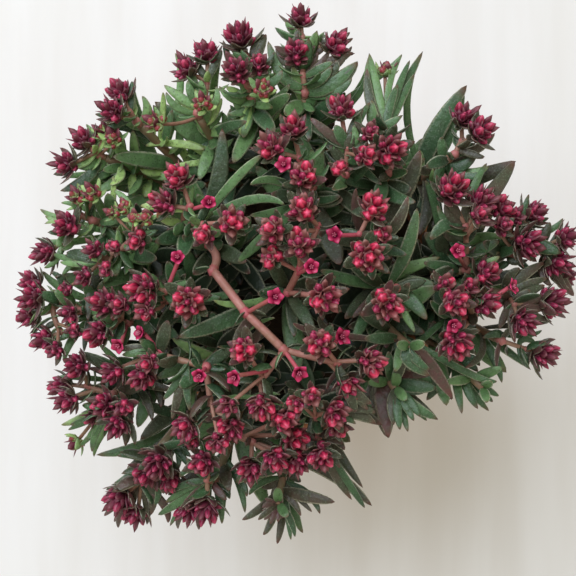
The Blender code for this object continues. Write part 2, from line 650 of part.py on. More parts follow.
def boolean(obj, others, operation):
    """Joins to an object, or cuts from it, all the shapes of a list at once."""
    helpers = bpy.data.collections.new(obj.name + "_repeats")
    bpy.context.scene.collection.children.link(helpers)
    for shape in others:
        new_object(obj.name + "_repeat", shape, helpers)
    modifier = obj.modifiers.new("repeats", "BOOLEAN")
    modifier.operation = operation
    modifier.operand_type = "COLLECTION"
    modifier.collection = helpers
    with bpy.context.temp_override(object=obj, active_object=obj):
        bpy.ops.object.modifier_apply(modifier="repeats")
    for helper in list(helpers.objects):
        bpy.data.objects.remove(helper)
    bpy.data.collections.remove(helpers)


def paint(obj, colour, roughness):
    """Gives an object its own material."""
    material = bpy.data.materials.new(obj.name)
    material.use_nodes = True
    shader = material.node_tree.nodes["Principled BSDF"]
    shader.inputs["Base Color"].default_value = (*colour, 1)
    shader.inputs["Roughness"].default_value = roughness
    shader.inputs["Metallic"].default_value = 0
    obj.data.materials.append(material)


def wall_radius(height):
    """The radius of the pot's outer wall at a height, without the rim band."""
    top = POT_RIM_RADIUS - RIM_BAND_STEP
    return POT_FOOT_RADIUS + (top - POT_FOOT_RADIUS) * height / POT_HEIGHT


def make_pot():
    """A tapered clay pot with a rim band and drain holes round the middle of its floor."""
    band = POT_HEIGHT - RIM_BAND_HEIGHT
    inner_top = wall_radius(POT_HEIGHT) - POT_WALL
    profile = (
        (POT_FOOT_RADIUS, 0),
        (wall_radius(band), band),
        (POT_RIM_RADIUS - 1 * MM, band),
        (POT_RIM_RADIUS, POT_HEIGHT - RIM_ROUNDING),
        (POT_RIM_RADIUS - RIM_ROUNDING, POT_HEIGHT),
        (inner_top + RIM_ROUNDING, POT_HEIGHT),
        (inner_top, POT_HEIGHT - RIM_ROUNDING),
        (wall_radius(POT_FLOOR) - POT_WALL, POT_FLOOR),
    )
    shape = loft([circle(Vector((0, 0, height)), radius, POT_SIDES) for radius, height in profile])
    grown.append(("pot", *trees_of(shape, 0)))
    drains = []
    for hole in range(DRAIN_HOLES):
        turn = math.tau * hole / DRAIN_HOLES
        centre = Vector((math.cos(turn), math.sin(turn), 0)) * DRAIN_RING_RADIUS
        ends = [centre - Vector((0, 0, POT_FLOOR)), centre + Vector((0, 0, 2 * POT_FLOOR))]
        drains.append(tube(ends, DRAIN_HOLE_RADIUS, DRAIN_HOLE_SIDES))
    pot = new_object("pot", shape, bpy.context.scene.collection)
    boolean(pot, drains, "DIFFERENCE")
    pot.data.set_sharp_from_angle(angle=math.radians(40))
    paint(pot, CLAY_COLOUR, 0.85)


def make_soil():
    """The soil that fills the pot, with a plain hole for the base of each clump."""
    low = POT_FLOOR + FIT_GAP
    rings = [circle(Vector((0, 0, height)), wall_radius(height) - POT_WALL - 2 * FIT_GAP, POT_SIDES)
             for height in (low, SOIL_LEVEL)]
    shape = loft(rings)
    holes = []
    for base in {stem["node"]: stem["base"] for stem in stems}.values():
        ends = [base - Vector((0, 0, STEM_DEPTH + FIT_GAP)), base + Vector((0, 0, STEM_DEPTH))]
        radius = STEM_ROOT_RADIUS + 1.3 * FIT_GAP
        holes.append(tube(ends, radius, STEM_SIDES))
    soil = new_object("soil", shape, bpy.context.scene.collection)
    boolean(soil, holes, "DIFFERENCE")
    paint(soil, SOIL_COLOUR, 0.95)
    levels = (SOIL_LEVEL - SURFACE_DEPTH, SOIL_LEVEL)
    surface = loft([circle(Vector((0, 0, level)), POT_FOOT_RADIUS, POT_SIDES) for level in levels])
    grown.append(("soil", *trees_of(surface, 0)))
    surface.free()


def clear_scene():
    """Removes the startup scene's objects."""
    for obj in list(bpy.data.objects):
        bpy.data.objects.remove(obj)


def main():
    clear_scene()
    grow_stems()
    make_soil()
    make_pot()
    flowering = [(shoot_here, stem) for shoot_here, stem in zip(SHOOTS, stems) if shoot_here["heads"]]
    sprays = [grow_branches(number, *pair) for number, pair in enumerate(flowering, 1)]
    for number, (spray, (shoot_here, _)) in enumerate(zip(sprays, flowering)):
        chance = random.Random(number)
        for place, form in shoot_here["heads"]:
            grow_head(spray, form, place, chance)
        for place in shoot_here["flowers"]:
            grow_flower(spray, place, chance)
    grow_leaves()
    for node, shapes in sorted(solids.items()):
        obj = new_object(node, shapes[0], bpy.context.scene.collection)
        if len(shapes) > 1:
            boolean(obj, shapes[1:], "UNION")
        is_leafy = node.startswith("leafy_stem")
        paint(obj, LEAF_COLOUR if is_leafy else BUD_COLOUR, 0.5)


main()
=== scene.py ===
"""The looks of a potted crassula in bloom: its leaves, sprays, pot and soil, finely modelled.

Each shoot, head and flower, and each leaf that the part has too, is placed by the rule that the part's own
source follows. Where that source tried several ways to grow a shape, the one that it took is found again
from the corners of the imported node. The other leaves are in this script alone: SMALL_LEAVES and SPRAY_LEAVES
list some by their pixels, and a rule with random draws places the inner, outer and paired ones. A place on
the plant is a pixel of the photograph and a depth under the dome of the heads.
"""

import itertools
import math
import random

import bmesh
import bpy
import numpy as np
from mathutils import Matrix, Vector, noise
from mathutils.kdtree import KDTree


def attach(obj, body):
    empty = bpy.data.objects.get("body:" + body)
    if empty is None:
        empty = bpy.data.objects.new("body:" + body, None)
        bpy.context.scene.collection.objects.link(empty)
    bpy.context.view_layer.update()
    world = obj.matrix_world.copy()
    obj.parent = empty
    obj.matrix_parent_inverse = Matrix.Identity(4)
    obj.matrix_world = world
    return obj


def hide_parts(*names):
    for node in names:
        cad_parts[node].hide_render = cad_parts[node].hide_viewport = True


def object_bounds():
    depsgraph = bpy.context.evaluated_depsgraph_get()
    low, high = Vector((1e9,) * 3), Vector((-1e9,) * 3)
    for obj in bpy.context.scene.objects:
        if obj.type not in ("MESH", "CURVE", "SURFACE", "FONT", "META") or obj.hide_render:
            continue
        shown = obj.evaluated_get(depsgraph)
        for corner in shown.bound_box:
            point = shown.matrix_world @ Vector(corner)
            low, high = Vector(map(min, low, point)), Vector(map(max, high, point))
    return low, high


MM = 0.001

# The clay pot and the soil in it
POT_HEIGHT = 105 * MM
POT_RIM_RADIUS = 60 * MM
POT_FOOT_RADIUS = 43 * MM
POT_WALL = 4.5 * MM
POT_FLOOR = 6 * MM
POT_SIDES = 112
RIM_BAND_HEIGHT = 22 * MM
RIM_BAND_STEP = 3 * MM
DRAIN_HOLES = 5
DRAIN_HOLE_RADIUS = 4 * MM
DRAIN_RING_RADIUS = 24 * MM
SOIL_LEVEL = 95 * MM
FIT_GAP = 0.3 * MM

# The photograph: 576 pixels square, taken from straight above
PICTURE_MIDDLE = 288
CROWN_MIDDLE = (296, 276)
CROWN_EDGE_PIXELS = 280
EYE_HEIGHT = 620 * MM
PIXEL_SIZE = 0.345 * MM
SIZED_HEIGHT = 165 * MM

# The dome that the bud heads form
CROWN_TOP = 184 * MM
CROWN_FALL = 50 * MM
HEAD_LEAN = math.radians(58)

# Stems, branches and leaves
STEM_ROOT_RADIUS = 2.1 * MM
STEM_TIP_RADIUS = 1.6 * MM
STEM_SPREAD = 0.5
STEM_CURVE = 1.35
TWIG_RADIUS = 0.6 * MM
TWIG_THICKENING = 0.36 * MM
COLLAR_LENGTH = 3.2 * MM
STALK_SPACING = 1.8 * MM
STALK_BEND = 2.5 * MM
BRANCH_SIDES = 4
LEAF_OUTLINE = ((0.38, 0.95), (0.74, 0.85))
LEAF_THICKNESS = 1.5 * MM
LONGEST_LEAF = 54 * MM
SHARPEST_BEND = math.radians(65)
LOW_LEAF_SHARES = (0.62, 0.42)
TUFT_SPACING = 5 * MM
TUFT_LEAF_WIDTH = 3.8 * MM

# How the fine branches and buds are drawn
BRANCH_SLIMNESS = 0.88
STALK_SLIMNESS = 0.85
FORK_REACH = 1.5
FORK_SWELL = 1.04
PEDICEL_RADIUS = 0.42 * MM
GREEN_RIPENESS = 0.08

# The moves that the part's source tries, in millimetres
LEAF_DROPS = (10, 7, 13, 16, 19, 4, 22, 26, 30)
LEAF_RISES = (0, 3, 6, 9)
HEAD_LIFTS = (0, 1.5, -1.5, 3, -3, 5, -5, 7)
HEAD_SCALES = (1.0, 0.88, 0.75)
FLOWER_LIFTS = (1, 2.5, -1, 4, -3, 6, -5)
BRANCH_LIFTS = (0.6, -1, 2.5, -3)
BRANCH_SHIFTS = (0, 2, -2, 4, -4, 6, -6)
LEAF_WAYS = 90
CLOSE_MATCH = 0.1 * MM

# Sides, tiers, core radius, reach of the buds beyond it and stalk radius, for each form of bud head
HEAD_FORMS = {
    "large": (5, 2, 4.2 * MM, 3.1 * MM, 1.1 * MM),
    "medium": (4, 2, 3.5 * MM, 2.8 * MM, 0.95 * MM),
    "small": (4, 1, 2.5 * MM, 2.3 * MM, 0.8 * MM),
    "single": (3, 1, 1.5 * MM, 1.9 * MM, 0.7 * MM),
}
CORE_RINGS = {1: ((-0.6, 0.72), (0.55, 0.8)), 2: ((-0.75, 0.62), (0.0, 1.0), (0.7, 0.6))}
BRACT_REACH = 1.8
FLOWER_RADIUS = 3.2 * MM
FLOWER_STALK_RADIUS = 0.75 * MM

# Heads that have not coloured yet
GREEN_HEADS = ((386, 70), (263, 90), (203, 103), (155, 122), (103, 131), (75, 443), (93, 193), (77, 198),
               (124, 206), (112, 213), (134, 217), (147, 217), (114, 138))

# Leaf tones, from 0 for old and brown to 1 for young and bright
TONES = {"d": 0.22, "r": 0.1, "g": 0.5, "m": 0.62, "b": 0.92}
MIDDLE_TONE = 0.48
TONE_SPREAD = 0.22
# How far painted shade darkens a leaf's tone, and how much painted light lifts it
PAINTED_LIGHT_SHIFT = 0.4
PAINTED_LIGHT_LIFT = 0.16
# Painted shade: the tone, darker than any leaf's own, of most inner leaves deep under the dome, and the share
# of them that get it
PAINTED_SHADE_TONE = -0.25
PAINTED_SHADE_SHARE = 0.7

# Painted light on the leaves: lighter and yellow-green at the upper left, towards the window light, and
# painted shade at the lower right:
# x + y where neither holds, and how far from there they are lightest
PAINTED_LIGHT_EVEN_DIAGONAL = 460
PAINTED_LIGHT_REACH = 240
DEEPEST_PAINTED_SHADE = -0.45

# Inner leaves, which no pixel names: pairs that cross down each stem
PAIR_SPACING = 6.5 * MM
INNER_LEAF_LENGTH = (20, 32)
INNER_LEAF_WIDTH = (3.8, 6.2)
INNER_LEAF_REACH = 190

# Short leaves just under the outer heads
OUTER_STEM_REACH = 110
OUTER_LEAF_LENGTH = (10, 18)
OUTER_LEAF_WIDTH = (3, 4.8)
OUTER_PAIR_SPACING = 4 * MM
OUTER_PAIRS = 9

# Pairs of small leaves along the outer branches and the upper stems
OUTER_BRANCH_REACH = 0.36
BRANCH_PAIR_SPACING = 4 * MM
SMALL_PAIR_SPACING = 4.5 * MM

# In pixels: past what distance a listed root lies off the wood, and how near a head a leaf is among heads
FAR_ROOT = 9
HEAD_COVER = 42

# How deep under the dome most inner leaves are dark with painted shade
PAINTED_SHADE_DEPTH = 22 * MM

# Places where the floor shows through the plant, and how far round them it does, in pixels
FLOOR_GAPS = ((145, 115, 8), (125, 135, 5), (147, 149, 6), (180, 154, 7), (185, 127, 5), (155, 189, 5),
              (228, 105, 5), (324, 82, 7), (358, 105, 6), (376, 94, 6), (405, 157, 7), (452, 145, 4),
              (94, 350, 7), (62, 325, 5), (195, 468, 5), (205, 409, 5), (232, 440, 6), (230, 455, 6),
              (304, 431, 6), (300, 452, 6), (430, 353, 5), (488, 324, 5), (472, 355, 12), (520, 337, 6),
              (170, 400, 5))


def shoot(clump, foot, joints=(), large=(), medium=(), small=(), single=(), flowers=()):
    """One shoot of the plant: where its spray stands on its stem, the spray's forks, and its heads.

    A foot or a joint is (x, y, depth in millimetres), and a head or a flower is (x, y).
    """
    forms = {"large": large, "medium": medium, "small": small, "single": single}
    heads = [(place, form) for form, places in forms.items() for place in places]
    return {"clump": clump, "foot": foot, "joints": joints, "heads": heads, "flowers": flowers}


SHOOTS = (
    # The long bare stem across the middle
    shoot(1, (211, 246, 27), ((213, 270, 19), (246, 313, 12), (284, 350, 9), (337, 363, 8), (260, 382, 9)),
          medium=((320, 343), (372, 362), (350, 386), (262, 406), (243, 350)), small=((228, 406),),
          flowers=((275, 297), (299, 372), (341, 337), (235, 377))),
    # The middle
    shoot(2, (288, 292, 25), ((300, 268, 12), (318, 226, 9)), large=((325, 297),),
          medium=((303, 208), (299, 243), (273, 229)), small=((271, 257),), flowers=((311, 267),)),
    shoot(3, (312, 190, 22), ((299, 158, 10),), medium=((303, 177), (270, 147), (293, 128)),
          flowers=((284, 165),)),
    shoot(3, (343, 178, 20), ((347, 148, 9),), medium=((342, 108),), small=((366, 156),),
          single=((340, 167),)),
    # The top
    shoot(4, (387, 176, 20), ((386, 130, 9),), large=((390, 150),), small=((370, 133), (386, 70))),
    shoot(5, (305, 98, 20), ((303, 75, 10), (302, 37, 7)), medium=((301, 17), (297, 52), (336, 44))),
    shoot(6, (252, 103, 20), ((247, 85, 9), (247, 56, 7)), large=((240, 36),), medium=((236, 70),),
          small=((259, 65), (263, 90))),
    shoot(7, (200, 118, 18), ((207, 82, 8),), medium=((185, 67), (206, 52)), small=((203, 103), (155, 122))),
    # The upper left
    shoot(8, (187, 226, 20), ((202, 224, 9), (190, 206, 8)), medium=((178, 177), (163, 203), (232, 221)),
          small=((204, 235),), flowers=((209, 203),)),
    shoot(9, (141, 126, 16), ((130, 112, 7),), medium=((120, 92), (111, 110))),
    shoot(9, (105, 158, 16), ((93, 150, 7),), medium=((82, 140), (65, 163)), small=((103, 131), (114, 138))),
    # The left
    shoot(10, (98, 222, 16), ((80, 215, 8), (63, 238, 7)), medium=((66, 225), (45, 253)),
          small=((77, 198), (93, 193))),
    shoot(11, (86, 310, 16), ((53, 300, 7), (61, 332, 7)),
          medium=((31, 283), (31, 298), (30, 316), (43, 340)), small=((55, 350), (69, 313)),
          single=((75, 331),)),
    shoot(12, (122, 252, 18), ((101, 262, 8), (137, 230, 8)), small=((83, 276), (94, 250), (137, 240)),
          single=((67, 288), (114, 247), (105, 270), (124, 206), (112, 213), (134, 217), (147, 217))),
    shoot(13, (132, 322, 18), ((115, 318, 8),), medium=((103, 303), (97, 333)), small=((121, 305),),
          flowers=((119, 345),)),
    shoot(14, (168, 300, 20), ((166, 291, 9),), large=((142, 289), (188, 301)), small=((146, 311),),
          flowers=((178, 258),)),
    # The lower left
    shoot(15, (209, 362, 24), ((206, 367, 12), (150, 352, 8), (212, 412, 9)),
          medium=((141, 377), (112, 372), (185, 428), (231, 428)),
          small=((149, 362), (191, 441), (218, 443)), flowers=((141, 333), (200, 375))),
    shoot(16, (116, 392, 16), ((88, 386, 7), (108, 413, 7)),
          medium=((76, 366), (62, 386), (66, 400), (105, 405), (117, 425)),
          small=((124, 407), (93, 417), (75, 443))),
    shoot(17, (160, 448, 16), ((158, 458, 9), (140, 482, 7)), large=((157, 464), (119, 500)),
          medium=((169, 480), (146, 474), (135, 515))),
    # The bottom
    shoot(18, (216, 478, 16), ((207, 480, 8),), large=((206, 510),), medium=((203, 463), (188, 512))),
    shoot(19, (232, 428, 22), ((252, 442, 10),),
          medium=((250, 470), (275, 460), (298, 462), (284, 421), (294, 438))),
    shoot(20, (318, 432, 18), ((316, 416, 8),), medium=((335, 413), (320, 457)),
          small=((337, 428), (298, 402), (312, 396))),
    shoot(20, (278, 505, 13)),
    # The right
    shoot(21, (374, 240, 20), ((360, 234, 8),), large=((368, 256),), medium=((374, 207),),
          small=((383, 235),), flowers=((335, 235),)),
    shoot(22, (393, 288, 18), ((391, 297, 8),), large=((387, 305),)),
    shoot(22, (410, 348, 8)),
    shoot(23, (450, 158, 16), ((462, 140, 8),), medium=((465, 117), (481, 131))),
    shoot(24, (462, 270, 22), ((465, 226, 9),), large=((452, 188), (482, 202)), medium=((502, 207),),
          small=((479, 216),), flowers=((457, 251),)),
    shoot(25, (508, 254, 18), ((515, 236, 9), (545, 250, 8)), large=((529, 244), (558, 262)),
          medium=((534, 213), (568, 237)), small=((516, 217), (502, 226), (567, 277))),
    shoot(26, (500, 293, 18), ((514, 304, 7),), large=((553, 303),), medium=((524, 322),)),
    shoot(26, (496, 338, 16), ((526, 349, 6),), large=((545, 355),)),
    shoot(27, (468, 315, 18), ((468, 300, 8),), large=((457, 343),),
          medium=((455, 303), (487, 304), (487, 273)), small=((469, 288), (445, 284)),
          flowers=((512, 287), (453, 325))),
    shoot(27, (484, 388, 8)),
    # The lower right, with leaves only
    shoot(28, (396, 388, 16)),
)

# The leaves that show plainly: pixels of the tip and of the base, the width in pixels, and the tone
SEEN_LEAVES = (
    (132, 81, 133, 115, 8, "g"), (107, 129, 128, 121, 8, "d"), (86, 124, 98, 140, 8, "m"),
    (120, 131, 120, 152, 10, "m"), (133, 130, 134, 152, 10, "m"), (143, 96, 152, 112, 8, "b"),
    (164, 85, 185, 98, 8, "b"), (175, 53, 190, 75, 8, "m"), (190, 68, 193, 95, 7, "m"),
    (222, 50, 208, 80, 9, "m"), (227, 87, 255, 98, 9, "m"), (243, 138, 252, 100, 12, "m"),
    (222, 128, 225, 195, 18, "d"), (290, 84, 275, 105, 9, "m"), (272, 55, 280, 95, 8, "m"),
    (312, 68, 315, 115, 10, "m"), (358, 61, 325, 90, 10, "g"), (338, 75, 318, 68, 8, "d"),
    (369, 53, 375, 88, 7, "m"), (402, 54, 393, 74, 7, "m"), (415, 73, 395, 112, 8, "m"),
    (368, 67, 366, 108, 7, "m"), (403, 115, 378, 130, 8, "m"), (467, 85, 425, 140, 20, "g"),
    (464, 92, 452, 148, 13, "m"), (485, 157, 460, 150, 8, "d"), (489, 166, 470, 180, 10, "b"),
    (516, 161, 470, 187, 18, "d"), (420, 150, 408, 200, 20, "d"), (416, 202, 388, 200, 14, "g"),
    (417, 208, 412, 250, 14, "m"), (424, 233, 447, 248, 20, "g"), (441, 257, 377, 278, 15, "b"),
    (356, 188, 351, 220, 10, "r"), (340, 265, 330, 237, 22, "d"), (382, 185, 352, 162, 11, "g"),
    (407, 255, 382, 248, 12, "g"), (505, 238, 468, 228, 12, "b"), (500, 241, 475, 250, 14, "m"),
    (500, 252, 468, 262, 10, "b"), (529, 195, 523, 216, 7, "m"), (549, 218, 532, 222, 8, "g"),
    (551, 224, 544, 242, 10, "g"), (563, 218, 556, 238, 8, "m"), (515, 203, 500, 215, 8, "g"),
    (549, 276, 505, 270, 14, "d"), (340, 192, 318, 188, 9, "g"), (341, 196, 320, 204, 9, "g"),
    (60, 191, 92, 182, 10, "m"), (63, 177, 86, 172, 8, "m"), (40, 209, 62, 226, 9, "m"),
    (41, 240, 60, 248, 8, "m"), (62, 275, 76, 258, 8, "m"), (43, 271, 56, 293, 9, "m"),
    (88, 322, 87, 276, 11, "d"), (57, 328, 48, 309, 10, "d"), (64, 363, 65, 335, 9, "m"),
    (78, 352, 115, 368, 14, "g"), (78, 400, 101, 388, 14, "d"), (83, 404, 98, 408, 7, "b"),
    (61, 425, 91, 420, 10, "b"), (94, 457, 93, 430, 8, "b"), (125, 446, 131, 424, 10, "d"),
    (96, 455, 170, 448, 14, "m"), (127, 468, 142, 460, 8, "d"), (114, 483, 132, 480, 7, "m"),
    (148, 524, 147, 490, 8, "d"), (168, 495, 190, 480, 14, "d"), (165, 503, 183, 496, 7, "m"),
    (159, 515, 177, 507, 9, "m"), (222, 524, 220, 500, 8, "m"), (227, 500, 214, 489, 8, "m"),
    (140, 440, 176, 405, 18, "d"), (161, 408, 160, 380, 10, "d"), (193, 412, 185, 378, 10, "b"),
    (186, 411, 207, 424, 12, "d"), (172, 338, 202, 357, 12, "b"), (165, 318, 157, 350, 15, "r"),
    (198, 331, 197, 303, 12, "g"), (213, 300, 240, 313, 8, "b"), (178, 337, 232, 322, 18, "g"),
    (233, 345, 243, 320, 12, "d"), (261, 325, 256, 352, 12, "r"), (213, 365, 236, 362, 8, "g"),
    (217, 347, 237, 350, 8, "g"), (231, 392, 213, 371, 12, "b"), (229, 491, 225, 468, 14, "d"),
    (245, 513, 243, 482, 8, "m"), (249, 495, 256, 480, 8, "m"), (242, 520, 262, 510, 9, "d"),
    (263, 535, 275, 524, 9, "d"), (277, 544, 284, 522, 9, "d"), (303, 533, 289, 512, 10, "m"),
    (335, 502, 298, 495, 14, "d"), (372, 506, 326, 460, 15, "d"), (363, 488, 326, 438, 11, "d"),
    (345, 450, 331, 431, 12, "d"), (321, 473, 304, 455, 10, "d"), (388, 438, 380, 388, 24, "d"),
    (382, 425, 350, 403, 15, "d"), (408, 432, 402, 408, 8, "m"), (438, 420, 408, 397, 11, "d"),
    (427, 421, 409, 401, 8, "m"), (430, 375, 401, 371, 14, "r"), (433, 388, 398, 383, 14, "m"),
    (452, 400, 433, 362, 14, "d"), (462, 414, 455, 377, 10, "m"), (489, 411, 464, 386, 10, "m"),
    (465, 368, 491, 356, 8, "d"), (502, 383, 495, 346, 10, "m"), (529, 368, 503, 346, 9, "m"),
    (415, 333, 402, 306, 9, "b"), (427, 320, 408, 291, 16, "m"), (353, 342, 365, 317, 13, "m"),
    (380, 345, 367, 326, 13, "m"), (410, 281, 393, 287, 8, "b"), (307, 323, 303, 304, 11, "d"),
    (293, 323, 305, 335, 8, "r"), (231, 265, 222, 245, 9, "m"), (262, 155, 237, 172, 10, "m"),
    (285, 205, 256, 184, 10, "m"), (238, 262, 259, 241, 12, "m"), (250, 215, 271, 217, 9, "m"),
    (110, 185, 126, 178, 10, "b"), (205, 150, 181, 141, 9, "b"), (140, 168, 152, 180, 9, "b"),
    (128, 195, 140, 186, 8, "m"), (497, 381, 484, 388, 8, "m"), (499, 396, 486, 390, 8, "m"),
    (493, 402, 482, 392, 8, "m"), (481, 373, 480, 386, 7, "m"), (403, 331, 409, 346, 8, "m"),
    (422, 346, 411, 348, 9, "m"), (422, 363, 411, 351, 8, "m"), (400, 356, 409, 350, 8, "m"),
    (345, 205, 325, 220, 12, "m"), (332, 190, 350, 180, 12, "m"), (250, 185, 268, 170, 9, "m"),
    (160, 240, 150, 262, 9, "m"), (172, 245, 185, 232, 8, "m"), (240, 290, 222, 300, 9, "m"),
    (320, 270, 343, 280, 12, "m"), (360, 285, 366, 276, 9, "m"), (430, 300, 445, 320, 11, "m"),
    (425, 180, 440, 205, 10, "m"),
)

# Leaves that show only in part, or that lie low among the others, and that the part leaves out
SMALL_LEAVES = (
    (433, 168, 432, 188, 6, "b"), (61, 203, 76, 200, 6, "m"), (57, 377, 73, 376, 6, "m"),
    (104, 437, 106, 425, 6, "m"), (275, 318, 257, 318, 5, "b"), (215, 400, 249, 388, 5, "b"),
    (281, 395, 259, 388, 5, "b"), (291, 540, 288, 520, 6, "m"), (312, 512, 300, 499, 6, "d"),
    (352, 318, 370, 301, 9, "r"), (319, 316, 318, 333, 9, "d"), (293, 297, 306, 290, 8, "r"),
    (327, 390, 326, 371, 6, "r"), (163, 92, 165, 110, 7, "b"), (152, 420, 150, 398, 9, "d"),
    (542, 330, 529, 342, 6, "m"), (84, 352, 86, 322, 8, "d"),
    (551, 321, 537, 323, 7, "d"),
)

